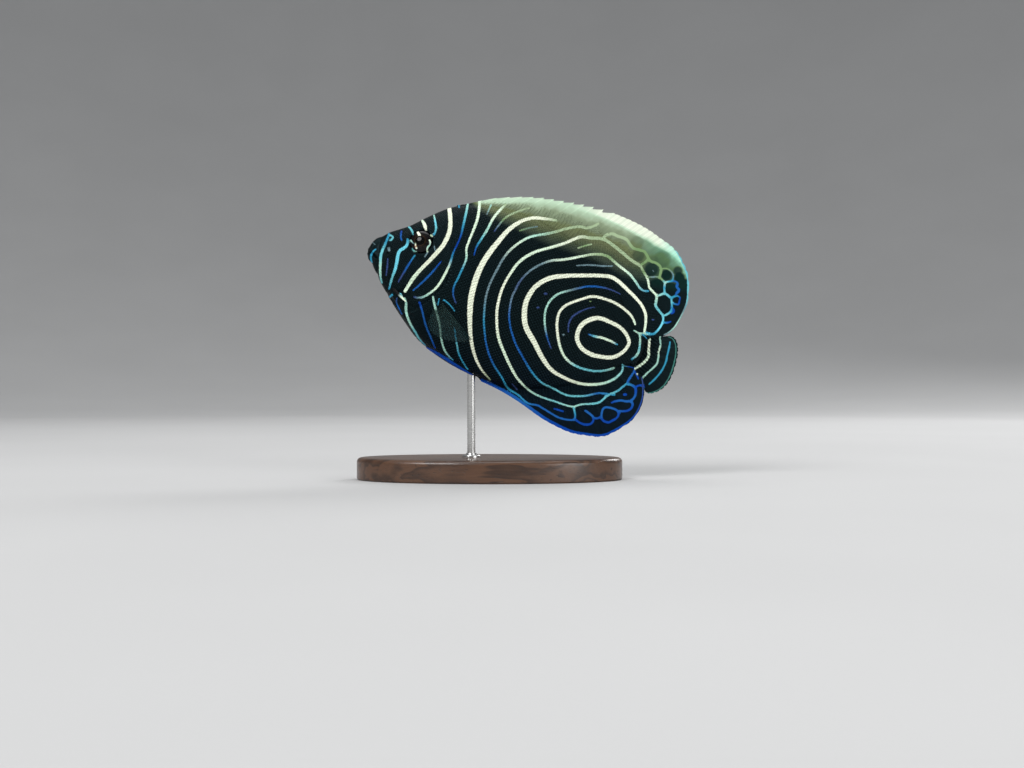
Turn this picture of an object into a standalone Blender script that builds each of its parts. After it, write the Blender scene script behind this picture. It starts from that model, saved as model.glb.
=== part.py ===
"""Young emperor angelfish, life size and still, nose up on a plain display stand.

The fish is drawn in its own frame, in metres: x runs from the snout to the tail
root, z runs up through the back and y runs to its right side. The frame is then
pitched nose up, so that in the world the fish faces -X with its left side to -Y.
The origin is the middle of the stand's underside. Tables of stations are given
in fractions of the standard length, which is from snout tip to tail root.
"""

import math

import bmesh
import bpy
import numpy as np
from mathutils import Vector

# Driving dimensions
MM = 0.001
STANDARD_LENGTH = 104 * MM
PITCH = math.radians(20.6)
SNOUT_HEIGHT = 83 * MM
SNOUT_AHEAD = 44 * MM
SEAM = 0.3 * MM
CREST_HALF_WIDTH, CREST_FROM = 0.8 * MM, 0.22 * STANDARD_LENGTH
SNOUT_CREST_SHARE = 0.25

# The outline from the side, the half width from above, and how far the section narrows to its crests
BACK = [(0, 0.006), (0.012, 0.045), (0.04, 0.075), (0.11, 0.132), (0.16, 0.185), (0.215, 0.236),
        (0.27, 0.268), (0.38, 0.298), (0.50, 0.306), (0.62, 0.292), (0.74, 0.251), (0.84, 0.192),
        (0.91, 0.127), (0.96, 0.074), (1.0, 0.052)]
BELLY = [(0, -0.010), (0.012, -0.026), (0.031, -0.044), (0.070, -0.080), (0.163, -0.157),
         (0.209, -0.190), (0.266, -0.227), (0.374, -0.258), (0.464, -0.272), (0.54, -0.281),
         (0.64, -0.272), (0.74, -0.238), (0.84, -0.182), (0.91, -0.120), (0.96, -0.070), (1.0, -0.050)]
HALF_WIDTH = [(0, 0.011), (0.02, 0.022), (0.06, 0.037), (0.12, 0.055), (0.2, 0.072), (0.3, 0.085),
              (0.4, 0.087), (0.52, 0.080), (0.64, 0.066), (0.76, 0.048), (0.88, 0.031), (0.96, 0.0215),
              (1.0, 0.019)]
UPPER_TAPER = [(0, 1.10), (0.05, 1.0), (0.2, 0.92), (0.4, 1.2), (0.7, 1.35), (1.0, 1.05)]
LOWER_TAPER = [(0, 1.10), (0.07, 0.95), (0.25, 0.85), (0.5, 1.0), (0.8, 1.3), (1.0, 1.05)]
LIP_AT, LIP_SPREAD, LIP_SWELL = 1.2 * MM, 0.8 * MM, 0.45 * MM
LIP_GROOVE_AT, LIP_GROOVE_DEPTH = 3.1 * MM, 0.28 * MM
TAIL_BEND_FROM, TAIL_BEND = 0.80 * STANDARD_LENGTH, 3.0
HEAD_RINGS = [0, 0.4, 0.9, 1.5, 2.2, 3.0, 3.8, 5, 7, 9.2, 11.5, 14, 16.5, 19, 21.5, 24, 26.3, 28.5, 30.5]
JAW_RINGS = 11
TRUNK_LENGTHS, STEM_LENGTHS = 22, 6
HEAD_SIDES, TRUNK_SIDES, STEM_SIDES = 15, 16, 12

# Gill cover: its rear margin above and below the middle, its front edge, its ends and its thickness
GILL_MARGIN = 30.5 * MM
GILL_UPPER = (6.5 * MM, 26 * MM, 1.5)
GILL_LOWER = (12.5 * MM, 20 * MM, 1.6)
GILL_MARGIN_LIMIT = 1.3
CHEEK_EDGE, CHEEK_SLOPE = 21.5 * MM, 0.40
COVER_LOW, COVER_HIGH = -13.6 * MM, 9.8 * MM
COVER_THICKNESS, COVER_LIFT = 1.4 * MM, 0.5 * MM
COVER_ROUNDING, COVER_ROUNDED_SHARE = 2.4 * MM, 0.44
COVER_COLUMNS, COVER_ROWS = 7, 15
RECESS_PAST_MARGIN, RECESS_ABOVE_SKIN = 1.2 * MM, 2 * MM
TRUNK_GAP = 0.4 * MM
STEM_FROM = 92 * MM

# Mouth and jaw seen from the side in millimetres, nostrils and eye
JAW_LINE = [(-2.0, -0.4), (1.2, -0.6), (3.9, -1.5), (5.2, -3.4), (5.9, -6.0), (7.6, -11.0)]
JAW_STEPS, JAW_CUTTER_REACH = 16, 30 * MM
NOSTRILS = [(7.0 * MM, 3.0 * MM, 0.46 * MM), (7.3 * MM, 1.2 * MM, 0.36 * MM)]
NOSTRIL_DEPTH, NOSTRIL_SEGMENTS = 1.4, 8
EYE_PLACE = (17.4 * MM, 9.2 * MM)
EYE_RADIUS, EYE_DEPTH, EYE_SUNK, EYE_SEGMENTS = 4.2 * MM, 1.9 * MM, 0.8 * MM, 28

# Cheek spine, from the lower corner of the cheek back over the gill cover
SPINE_ROOT, SPINE_TIP = (12.6 * MM, -9.6 * MM), (20.5 * MM, -12.6 * MM)
SPINE_RADIUS, SPINE_STANDS_OFF, SPINE_SUNK = 0.80 * MM, 1.30 * MM, 0.55 * MM
SPINE_RINGS, SPINE_SIDES, SPINE_LIFT, SPINE_TAPER = 7, 6, 0.55, 0.8

# Upright fins: where rays are rooted along the body, and where their tips lie
DORSAL_ROOT_AT = [0.250, 0.30, 0.36, 0.52, 0.67, 0.80, 0.89, 0.94, 0.955, 0.97, 0.985]
DORSAL_TIPS = [(0.262, 0.272), (0.335, 0.319), (0.415, 0.354), (0.595, 0.404), (0.760, 0.4215),
               (0.925, 0.402), (1.040, 0.352), (1.092, 0.280), (1.108, 0.228), (1.107, 0.172),
               (1.080, 0.094)]
DORSAL_SPLIT = 0.665
DORSAL_SPINES, DORSAL_RAYS, DORSAL_NOTCH = 14, 20, 0.07
ANAL_ROOT_AT = [0.515, 0.56, 0.61, 0.71, 0.81, 0.885, 0.94, 0.96, 0.98]
ANAL_TIPS = [(0.530, -0.290), (0.600, -0.296), (0.665, -0.308), (0.800, -0.341), (0.925, -0.341),
             (1.025, -0.294), (1.082, -0.196), (1.083, -0.150), (1.068, -0.107)]
ANAL_SPINES, ANAL_RAYS, ANAL_NOTCH = 3, 19, 0.16
CAUDAL_TIPS = [(1.093, 0.094), (1.118, 0.083), (1.135, 0.038), (1.141, -0.036), (1.127, -0.089),
               (1.096, -0.120), (1.076, -0.113)]
CAUDAL_RAYS, CAUDAL_ROOT_HALF, CAUDAL_ROOT_INSET = 16, 1.55 * MM, 0.35 * MM
CAUDAL_SWING, CAUDAL_REACH, CAUDAL_SWING_POWER = 3.0 * MM, 14.6 * MM, 1.6

# Paired fins, in millimetres: root line and tips as (x, z), and the pectoral's spread from the flank
PECTORAL_RAYS, PECTORAL_ROOT_HALF, PECTORAL_SUNK = 18, 0.70 * MM, 0.9 * MM
PECTORAL_ROOT = [(31.6, -8.4), (30.3, -11.6)]
PECTORAL_TIPS = [(47.0, -17.4), (45.6, -19.0), (41.4, -20.4), (36.8, -20.9), (32.6, -20.0), (30.0, -17.0)]
PECTORAL_SPREAD = (7.5 * MM, 4.0 * MM)
# The pelvic's points are (x, z, distance from the middle plane)
PELVIC_RAYS, PELVIC_ROOT_HALF, PELVIC_NOTCH, PELVIC_BOW = 6, 0.60 * MM, 0.05, -0.08
PELVIC_ROOT = [(33.2, -24.0, 3.3), (34.2, -25.0, 1.4)]
PELVIC_TIPS = [(50.8, -29.3, 3.9), (50.0, -29.6, 3.4), (48.4, -29.7, 2.6), (45.6, -29.4, 1.8)]

# Fin blades: half thickness on a ray, on the web, at the edge and at the root, and rows from root to tip
RAY_HALF, WEB_HALF, ROOT_HALF = 0.42 * MM, 0.26 * MM, 0.78 * MM
RAY_EDGE_HALF, WEB_EDGE_HALF, EDGE_THINNING, ROOT_THINNING = 0.23 * MM, 0.19 * MM, 1.5, 1.3
WEB_SHORT = 0.012
UPRIGHT_ROWS = (0.0, 0.12, 0.30, 0.62, 1.0)
CAUDAL_ROWS = (0.0, 0.07, 0.20, 0.45, 0.74, 1.0)
PAIRED_ROWS = (0.0, 0.13, 0.34, 0.66, 1.0)

# Stand
BASE_LENGTH, BASE_WIDTH, BASE_HEIGHT = 96 * MM, 52 * MM, 8 * MM
BASE_SIDES, BASE_EDGE, BASE_EDGE_STEPS, BASE_FOOT_EDGE = 72, 1.6 * MM, 3, 0.5 * MM
ROD_RADIUS, ROD_SIDES, ROD_SUNK = 1.5 * MM, 20, 5.5 * MM
ROD_AT = 50.7 * MM
DRILL_REACH = 8 * MM
SMOOTH_ANGLE = math.radians(40)


def make_material(name, colour, roughness, metallic=0.0):
    """A plain finish of one colour."""
    material = bpy.data.materials.new(name)
    material.use_nodes = True
    shader = material.node_tree.nodes["Principled BSDF"]
    shader.inputs["Base Color"].default_value = (*colour, 1.0)
    shader.inputs["Roughness"].default_value = roughness
    shader.inputs["Metallic"].default_value = metallic
    return material


def clear_scene():
    """Takes every object out of the scene."""
    for thing in list(bpy.data.objects):
        bpy.data.objects.remove(thing)


# Curves and the body's surface


def smooth_through(stations, at, places):
    """A smooth curve through stations at rising values, read at the places."""
    at = np.asarray(at, float)
    stations = np.asarray(stations, float)
    places = np.clip(np.asarray(places, float), at[0], at[-1])
    step = np.diff(at)
    rise = np.diff(stations, axis=0) / step[:, None]
    slope = np.empty_like(stations)
    slope[1:-1] = (rise[:-1] * step[1:, None] + rise[1:] * step[:-1, None]) / (step[:-1] + step[1:])[:, None]
    slope[0], slope[-1] = 2 * rise[0] - slope[1], 2 * rise[-1] - slope[-2]
    k = np.clip(np.searchsorted(at, places, side="right") - 1, 0, len(step) - 1)
    span = step[k][:, None]
    t = ((places - at[k]) / step[k])[:, None]
    near = stations[k] * (1 + 2 * t) * (1 - t) ** 2 + slope[k] * span * t * (1 - t) ** 2
    far = stations[k + 1] * t * t * (3 - 2 * t) + slope[k + 1] * span * t * t * (t - 1)
    return near + far


def spaced_along(stations, count):
    """Points spaced evenly by number along a smooth curve through the stations."""
    return smooth_through(stations, np.linspace(0, 1, len(stations)), np.linspace(0, 1, count))


def read_profile(table, x):
    """One profile's value at a distance from the snout."""
    pairs = np.asarray(table, float)
    return float(smooth_through(pairs[:, 1:], pairs[:, 0], [x / STANDARD_LENGTH])[0, 0])


def lip_at(x):
    """How far the lips swell, or the groove behind them dips, at a distance from the snout."""
    swell = LIP_SWELL * math.exp(-((x - LIP_AT) / LIP_SPREAD) ** 2)
    return swell - LIP_GROOVE_DEPTH * math.exp(-((x - LIP_GROOVE_AT) / LIP_SPREAD) ** 2)


def section_at(x):
    """The body's section: middle height, half height, half width and half width of its crests."""
    top = read_profile(BACK, x) * STANDARD_LENGTH + lip_at(x)
    low = read_profile(BELLY, x) * STANDARD_LENGTH - lip_at(x)
    wide = read_profile(HALF_WIDTH, x) * STANDARD_LENGTH + lip_at(x)
    crest_share = SNOUT_CREST_SHARE + (1 - SNOUT_CREST_SHARE) * min(1.0, x / CREST_FROM)
    return (top + low) / 2, (top - low) / 2, wide, CREST_HALF_WIDTH * crest_share


def taper_at(x, above):
    """The power that narrows the section towards its upper or lower crest."""
    return read_profile(UPPER_TAPER if above else LOWER_TAPER, x)


def bend_at(x):
    """How far the rear of the fish bends to its right."""
    return TAIL_BEND * max(0.0, x - TAIL_BEND_FROM) ** 2


def half_width_at(x, z):
    """Half width of the body at a distance from the snout and a height."""
    middle, half, wide, crest = section_at(x)
    sine = max(-1.0, min(1.0, (z - middle) / half))
    return crest + (wide - crest) * math.sqrt(1 - sine * sine) ** taper_at(x, sine > 0)


def body_point(station, angle, grow):
    """The body's surface where a station, x as a function of z, meets an angle round the section."""
    z = 0.0
    for _ in range(60):
        x = station(z)
        middle, half, wide, crest = section_at(x)
        z += 0.5 * (middle + half * math.sin(angle) - z)
    cosine = max(1e-9, math.cos(angle))
    side = crest + (wide - crest) * cosine ** taper_at(x, angle > 0)
    return x, side + grow, middle + (half + grow) * math.sin(angle)


def surface_normal(x, z, side):
    """The way that the flank on one side, -1 or 1, faces at a place."""
    step = 0.4 * MM
    along = (half_width_at(x + step, z) - half_width_at(x - step, z)) / (2 * step)
    up = (half_width_at(x, z + step) - half_width_at(x, z - step)) / (2 * step)
    return Vector((-along, side, -up)).normalized()


def surface_place(x, z, side, out=0.0):
    """A point on the flank, moved outwards by a distance."""
    return Vector((x, side * half_width_at(x, z), z)) + surface_normal(x, z, side) * out


def gill_margin_at(z):
    """Where the rear margin of the gill cover lies at a height."""
    pull, span, power = GILL_UPPER if z > 0 else GILL_LOWER
    return GILL_MARGIN - pull * min(GILL_MARGIN_LIMIT, abs(z) / span) ** power


# Solids


def link_mesh(name, work, material, parent):
    """An object that takes over a finished bmesh."""
    mesh = bpy.data.meshes.new(name)
    work.to_mesh(mesh)
    work.free()
    if material:
        mesh.materials.append(material)
    thing = bpy.data.objects.new(name, mesh)
    bpy.context.collection.objects.link(thing)
    thing.parent = parent
    return thing


def new_solid(name, points, faces, material=None, parent=None):
    """A closed solid from points and faces, with its faces turned outwards."""
    mesh = bpy.data.meshes.new(name)
    mesh.from_pydata([tuple(point) for point in points], [], faces)
    work = bmesh.new()
    work.from_mesh(mesh)
    bpy.data.meshes.remove(mesh)
    bmesh.ops.remove_doubles(work, verts=work.verts, dist=1e-7)
    bmesh.ops.recalc_face_normals(work, faces=work.faces)
    return link_mesh(name, work, material, parent)


def sheet_solid(name, outer, inner, material, parent):
    """A solid between two like grids of points, with both split into triangles alike."""
    columns, rows = outer.shape[:2]
    count = columns * rows
    faces = []
    for j in range(columns - 1):
        for i in range(rows - 1):
            a = j * rows + i
            b = a + rows
            for start in (0, count):
                faces.append((start + a, start + b, start + b + 1))
                faces.append((start + a, start + b + 1, start + a + 1))
    rim = [j * rows for j in range(columns)]
    rim += [(columns - 1) * rows + i for i in range(1, rows)]
    rim += [j * rows + rows - 1 for j in range(columns - 2, -1, -1)]
    rim += list(range(rows - 2, 0, -1))
    for a, b in zip(rim, rim[1:] + rim[:1]):
        faces.append((a, b, b + count))
        faces.append((a, b + count, a + count))
    points = np.concatenate([outer.reshape(-1, 3), inner.reshape(-1, 3)])
    return new_solid(name, points, faces, material, parent)


def body_loft(name, stations, sides, material, parent, grow=0.0):
    """A length of the body between its first and last stations, closed at both ends."""
    angles = [-math.pi / 2 + math.pi * k / sides for k in range(sides + 1)]
    points = []
    for station in stations:
        ring = [body_point(station, angle, grow) for angle in angles]
        points += [(x, bend_at(x) + y, z) for x, y, z in ring]
        points += [(x, bend_at(x) - y, z) for x, y, z in reversed(ring)]
    count = 2 * (sides + 1)
    faces = []
    for r in range(len(stations) - 1):
        for k in range(count):
            a, b = r * count + k, r * count + (k + 1) % count
            faces.append((a, b, b + count, a + count))
    for start in (0, (len(stations) - 1) * count):
        for k in range(sides):
            faces.append((start + k, start + k + 1, start + count - 2 - k, start + count - 1 - k))
    return new_solid(name, points, faces, material, parent)


def prism(name, outline, half_width, parent):
    """A solid with an outline from the side, as wide to each side as given."""
    count = len(outline)
    points = [(x, side * half_width, z) for side in (-1, 1) for x, z in outline]
    faces = [tuple(range(count)), tuple(range(count, 2 * count))]
    faces += [(k, (k + 1) % count, count + (k + 1) % count, count + k) for k in range(count)]
    return new_solid(name, points, faces, parent=parent)


def ellipsoid(name, radius, depth, segments, material, parent):
    """A round body flattened along its own y axis."""
    work = bmesh.new()
    bmesh.ops.create_uvsphere(work, u_segments=segments, v_segments=segments // 2, radius=1.0)
    for vertex in work.verts:
        x, y, z = vertex.co
        vertex.co = (x * radius, -z * depth, y * radius)
    return link_mesh(name, work, material, parent)


def upright_rod(name, x, low, high, radius, material=None):
    """A round rod that stands upright."""
    work = bmesh.new()
    bmesh.ops.create_cone(work, cap_ends=True, segments=ROD_SIDES, radius1=radius, radius2=radius,
                          depth=high - low)
    rod = link_mesh(name, work, material, None)
    rod.location = (x, 0.0, (low + high) / 2)
    return rod


def stand_on_flank(thing, x, z, side, out):
    """Sets a flattened body on the flank with its own y axis pointing out of it."""
    thing.location = surface_place(x, z, side, out)
    thing.rotation_euler = surface_normal(x, z, side).to_track_quat("Y", "Z").to_euler()


def cut(thing, cutter, operation="DIFFERENCE", solver="EXACT"):
    """Cuts one solid by another, or joins or keeps what they share, and hides the other."""
    cutter.hide_render = True
    cutter.display_type = "WIRE"
    modifier = thing.modifiers.new(operation.lower() + "_" + cutter.name, "BOOLEAN")
    modifier.operation = operation
    modifier.object = cutter
    modifier.solver = solver


def shade_round(thing):
    """Shades a solid smooth except across its edges."""
    thing.data.shade_smooth()
    thing.data.set_sharp_from_angle(angle=SMOOTH_ANGLE)


# Head


def cover_sheet(name, side, widen, past_margin, depth_inside, height_outside, material, parent):
    """A curved plate that follows the flank over the gills, with both its depths as functions.

    The functions take the share of the way from the plate's front edge to its rear margin.
    """
    outer = np.empty((COVER_ROWS, COVER_COLUMNS, 3))
    inner = np.empty_like(outer)
    low, high = COVER_LOW - widen, COVER_HIGH + widen
    for j in range(COVER_ROWS):
        up = 0.5 - 0.5 * math.cos(math.pi * j / (COVER_ROWS - 1))
        z = low + (high - low) * up
        near_end = max(0.0, abs(2 * up - 1) - 1 + COVER_ROUNDED_SHARE) / COVER_ROUNDED_SHARE
        rounding = COVER_ROUNDING * (1 - math.sqrt(1 - near_end ** 2))
        front = CHEEK_EDGE + CHEEK_SLOPE * z - widen + rounding
        rear = gill_margin_at(z) + past_margin
        for i in range(COVER_COLUMNS):
            share = i / (COVER_COLUMNS - 1)
            x = front + (rear - front) * share
            flank = half_width_at(x, z)
            outer[j, i] = (x, side * (flank + height_outside(share)), z)
            inner[j, i] = (x, side * (flank - depth_inside(share)), z)
    return sheet_solid(name, outer, inner, material, parent)


def make_gill_cover(word, side, head, material, parent):
    """A gill cover that lifts towards its rear margin, and its recess in the head."""
    cover_sheet("gill_cover_" + word, side, 0.0, 0.0, lambda share: COVER_THICKNESS,
                lambda share: COVER_LIFT * share ** 2, material, parent)
    recess = cover_sheet("recess_" + word, side, SEAM, RECESS_PAST_MARGIN,
                         lambda share: COVER_THICKNESS + SEAM, lambda share: RECESS_ABOVE_SKIN, None, parent)
    cut(head, recess)


def make_eye(word, side, head, material, parent):
    """An eyeball and its socket in the head."""
    eye = ellipsoid("eye_" + word, EYE_RADIUS, EYE_DEPTH, EYE_SEGMENTS, material, parent)
    socket = ellipsoid("socket_" + word, EYE_RADIUS + SEAM, EYE_DEPTH + SEAM, EYE_SEGMENTS, None, parent)
    for thing in (eye, socket):
        stand_on_flank(thing, *EYE_PLACE, side, -EYE_SUNK)
    cut(head, socket)
    shade_round(eye)


def make_nostrils(word, side, head, parent):
    """Two small pits on the snout."""
    for number, (x, z, radius) in enumerate(NOSTRILS):
        name = f"nostril_{number}_{word}"
        pit = ellipsoid(name, radius, radius * NOSTRIL_DEPTH, NOSTRIL_SEGMENTS, None, parent)
        stand_on_flank(pit, x, z, side, 0.0)
        cut(head, pit)


def make_cheek_spine(word, side, head, parent):
    """A tapered spine that leaves the cheek and points back, clear of the gill cover."""
    (x0, z0), (x1, z1) = SPINE_ROOT, SPINE_TIP

    def middle_at(share):
        height = (SPINE_STANDS_OFF + SPINE_SUNK) * share ** SPINE_LIFT - SPINE_SUNK
        return surface_place(x0 + (x1 - x0) * share, z0 + (z1 - z0) * share, side, height)

    run = (middle_at(1.0) - middle_at(0.0)).normalized()
    across = run.cross(surface_normal(*SPINE_ROOT, side)).normalized()
    up = across.cross(run).normalized()
    points = []
    for r in range(SPINE_RINGS):
        share = r / SPINE_RINGS
        radius = SPINE_RADIUS * (1 - share) ** SPINE_TAPER
        for k in range(SPINE_SIDES):
            turn = 2 * math.pi * k / SPINE_SIDES
            points.append(middle_at(share) + (across * math.cos(turn) + up * math.sin(turn)) * radius)
    points.append(middle_at(1.0))
    faces = [tuple(range(SPINE_SIDES))]
    for r in range(SPINE_RINGS - 1):
        for k in range(SPINE_SIDES):
            a, b = r * SPINE_SIDES + k, r * SPINE_SIDES + (k + 1) % SPINE_SIDES
            faces.append((a, b, b + SPINE_SIDES, a + SPINE_SIDES))
    last = (SPINE_RINGS - 1) * SPINE_SIDES
    faces += [(last + k, last + (k + 1) % SPINE_SIDES, len(points) - 1) for k in range(SPINE_SIDES)]
    cut(head, new_solid("cheek_spine_" + word, points, faces, parent=parent), "UNION")


def jaw_outline(out):
    """The line of mouth and jaw from the side, moved up and back by a distance and closed below."""
    line = spaced_along(JAW_LINE, JAW_STEPS) * MM
    along = np.gradient(line, axis=0)
    along /= np.linalg.norm(along, axis=1, keepdims=True)
    line += np.stack([-along[:, 1], along[:, 0]], axis=1) * out
    return [tuple(point) for point in line] + [(line[0][0], line[-1][1])]


def make_head(materials, parent):
    """Head, lower jaw, gill covers and eyes, parted by thin cuts."""
    stations = [lambda z, x=x * MM: x * gill_margin_at(z) / GILL_MARGIN for x in HEAD_RINGS]
    head = body_loft("head", stations, HEAD_SIDES, materials["skin"], parent)
    jaw = body_loft("lower_jaw", stations[:JAW_RINGS], HEAD_SIDES, materials["skin"], parent)
    cut(jaw, prism("jaw_keep", jaw_outline(0.0), JAW_CUTTER_REACH, parent), "INTERSECT")
    cut(head, prism("jaw_cut", jaw_outline(SEAM), JAW_CUTTER_REACH, parent))
    for word, side in (("left", -1), ("right", 1)):
        make_gill_cover(word, side, head, materials["skin"], parent)
        make_eye(word, side, head, materials["eye"], parent)
        make_nostrils(word, side, head, parent)
        make_cheek_spine(word, side, head, parent)


# Trunk


def make_trunk(materials, parent):
    """Trunk and tail stem, and a trunk grown by a seam that the paired fins' roots are cut by."""
    def station_at(share):
        return lambda z: (gill_margin_at(z) + TRUNK_GAP) * (1 - share) + STEM_FROM * share

    stations = [station_at(k / TRUNK_LENGTHS) for k in range(TRUNK_LENGTHS + 1)]
    trunk = body_loft("trunk", stations, TRUNK_SIDES, materials["skin"], parent)
    clearance = body_loft("trunk_clearance", stations, TRUNK_SIDES, None, parent, grow=SEAM)
    stem_places = np.linspace(STEM_FROM + SEAM, STANDARD_LENGTH, STEM_LENGTHS + 1)
    stem_stations = [lambda z, x=float(x): x for x in stem_places]
    body_loft("tail_stem", stem_stations, STEM_SIDES, materials["skin"], parent)
    return trunk, clearance


# Fins


def fin_blade(name, roots, tips, rows, root_half, material, parent, notched=0, notch=0.0, bow=0.0):
    """A fin from its root line to its edge, with a raised ray on every second column.

    The web behind each of the first notched rays stops short of the edge by the notch. Bow bends
    each ray by a share of its length.
    """
    roots, tips = np.asarray(roots, float), np.asarray(tips, float)
    grid = np.empty((len(roots), len(rows), 3))
    half = np.empty((len(roots), len(rows), 1))
    for j, (root, tip) in enumerate(zip(roots, tips)):
        on_ray = j % 2 == 0
        body, edge = (RAY_HALF, RAY_EDGE_HALF) if on_ray else (WEB_HALF, WEB_EDGE_HALF)
        short = 0.0 if on_ray else notch if j < 2 * notched else WEB_SHORT
        run = tip - root
        aside = np.array((-run[2], 0.0, run[0])) * bow
        for i, row in enumerate(rows):
            share = row * (1 - short)
            grid[j, i] = root + run * share + aside * math.sin(math.pi * share)
            from_root = (1 - min(1.0, row / rows[2])) ** ROOT_THINNING
            blade = body + (edge - body) * row ** EDGE_THINNING
            half[j, i] = root_half * from_root + blade * (1 - from_root)
    normal = np.cross(np.gradient(grid, axis=0), np.gradient(grid, axis=1))
    normal /= np.linalg.norm(normal, axis=2, keepdims=True)
    return sheet_solid(name, grid + normal * half, grid - normal * half, material, parent)


def column_count(rays):
    """Columns of a fin: one on each ray and one on the web between two."""
    return 2 * rays - 1


def upright_fin(name, shares, root_at, tip_table, profile, lift, material, parent, notched=0, notch=0.0):
    """A fin in the middle plane, rooted on the back or belly at shares of the standard length."""
    tips = smooth_through(tip_table, root_at, shares) * STANDARD_LENGTH
    roots, ends = [], []
    for share, (x, z) in zip(shares, tips):
        root_x = share * STANDARD_LENGTH
        root_z = read_profile(profile, root_x) * STANDARD_LENGTH + lift
        roots.append((root_x, bend_at(root_x), root_z))
        ends.append((x, bend_at(x), z))
    fin_blade(name, roots, ends, UPRIGHT_ROWS, ROOT_HALF, material, parent, notched, notch)


def make_upright_fins(material, parent):
    """The spiny and soft dorsal fins and the anal fin."""
    half_gap = SEAM / 2 / STANDARD_LENGTH
    spiny = np.linspace(DORSAL_ROOT_AT[0], DORSAL_SPLIT - half_gap, column_count(DORSAL_SPINES))
    soft = np.linspace(DORSAL_SPLIT + half_gap, DORSAL_ROOT_AT[-1], column_count(DORSAL_RAYS))
    anal = np.linspace(ANAL_ROOT_AT[0], ANAL_ROOT_AT[-1], column_count(ANAL_SPINES + ANAL_RAYS))
    upright_fin("dorsal_fin_spiny", spiny, DORSAL_ROOT_AT, DORSAL_TIPS, BACK, SEAM, material, parent,
                DORSAL_SPINES, DORSAL_NOTCH)
    upright_fin("dorsal_fin_soft", soft, DORSAL_ROOT_AT, DORSAL_TIPS, BACK, SEAM, material, parent)
    upright_fin("anal_fin", anal, ANAL_ROOT_AT, ANAL_TIPS, BELLY, -SEAM, material, parent,
                ANAL_SPINES, ANAL_NOTCH)


def make_caudal_fin(material, parent):
    """The tail fin, which swings further to the fish's right than the bend of the body."""
    columns = column_count(CAUDAL_RAYS)
    middle, half, _, _ = section_at(STANDARD_LENGTH)
    root_heights = middle + (half - CAUDAL_ROOT_INSET) * np.linspace(1, -1, columns)
    roots = [(STANDARD_LENGTH + SEAM, 0.0, z) for z in root_heights]
    ends = [(x, 0.0, z) for x, z in spaced_along(CAUDAL_TIPS, columns) * STANDARD_LENGTH]
    fin = fin_blade("caudal_fin", roots, ends, CAUDAL_ROWS, CAUDAL_ROOT_HALF, material, parent)
    for vertex in fin.data.vertices:
        past = max(0.0, vertex.co.x - STANDARD_LENGTH) / CAUDAL_REACH
        vertex.co.y += bend_at(vertex.co.x) + CAUDAL_SWING * past ** CAUDAL_SWING_POWER


def make_pectoral_fin(word, side, clearance, material, parent):
    """A fan of rays that spreads down and out from the flank behind the gill cover."""
    columns = column_count(PECTORAL_RAYS)
    root_line = spaced_along(PECTORAL_ROOT, columns) * MM
    tips = spaced_along(PECTORAL_TIPS, columns) * MM
    spread = np.linspace(*PECTORAL_SPREAD, columns)
    roots = [(x, side * (half_width_at(x, z) - PECTORAL_SUNK), z) for x, z in root_line]
    ends = [(x, side * (half_width_at(x, z) + out), z) for (x, z), out in zip(tips, spread)]
    fin = fin_blade("pectoral_fin_" + word, roots, ends, PAIRED_ROWS, PECTORAL_ROOT_HALF, material, parent)
    cut(fin, clearance, solver="MANIFOLD")


def make_pelvic_fin(word, side, clearance, material, parent):
    """A narrow fin folded back under the belly, led by its spine."""
    columns = column_count(PELVIC_RAYS)
    roots = [(x, side * y, z) for x, z, y in spaced_along(PELVIC_ROOT, columns) * MM]
    ends = [(x, side * y, z) for x, z, y in spaced_along(PELVIC_TIPS, columns) * MM]
    fin = fin_blade("pelvic_fin_" + word, roots, ends, PAIRED_ROWS, PELVIC_ROOT_HALF, material, parent,
                    1, PELVIC_NOTCH, PELVIC_BOW)
    cut(fin, clearance, solver="MANIFOLD")


# Stand


def bevel_rim(thing, name, rim, width, segments):
    """Rounds the edges that join the given points."""
    thing.vertex_groups.new(name=name).add(rim, 1.0, "REPLACE")
    bevel = thing.modifiers.new(name, "BEVEL")
    bevel.width, bevel.segments = width, segments
    bevel.limit_method, bevel.vertex_group = "VGROUP", name


def make_base(material):
    """An oval plinth with a rounded upper edge."""
    points = []
    for level in (0.0, BASE_HEIGHT):
        for k in range(BASE_SIDES):
            turn = 2 * math.pi * k / BASE_SIDES
            points.append((BASE_LENGTH / 2 * math.cos(turn), BASE_WIDTH / 2 * math.sin(turn), level))
    lower, upper = range(BASE_SIDES), range(BASE_SIDES, 2 * BASE_SIDES)
    faces = [tuple(lower), tuple(upper)]
    for k in lower:
        after = (k + 1) % BASE_SIDES
        faces.append((k, after, BASE_SIDES + after, BASE_SIDES + k))
    base = new_solid("stand_base", points, faces, material)
    bevel_rim(base, "top_edge", upper, BASE_EDGE, BASE_EDGE_STEPS)
    bevel_rim(base, "foot_edge", lower, BASE_FOOT_EDGE, 1)
    shade_round(base)
    return base


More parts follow.
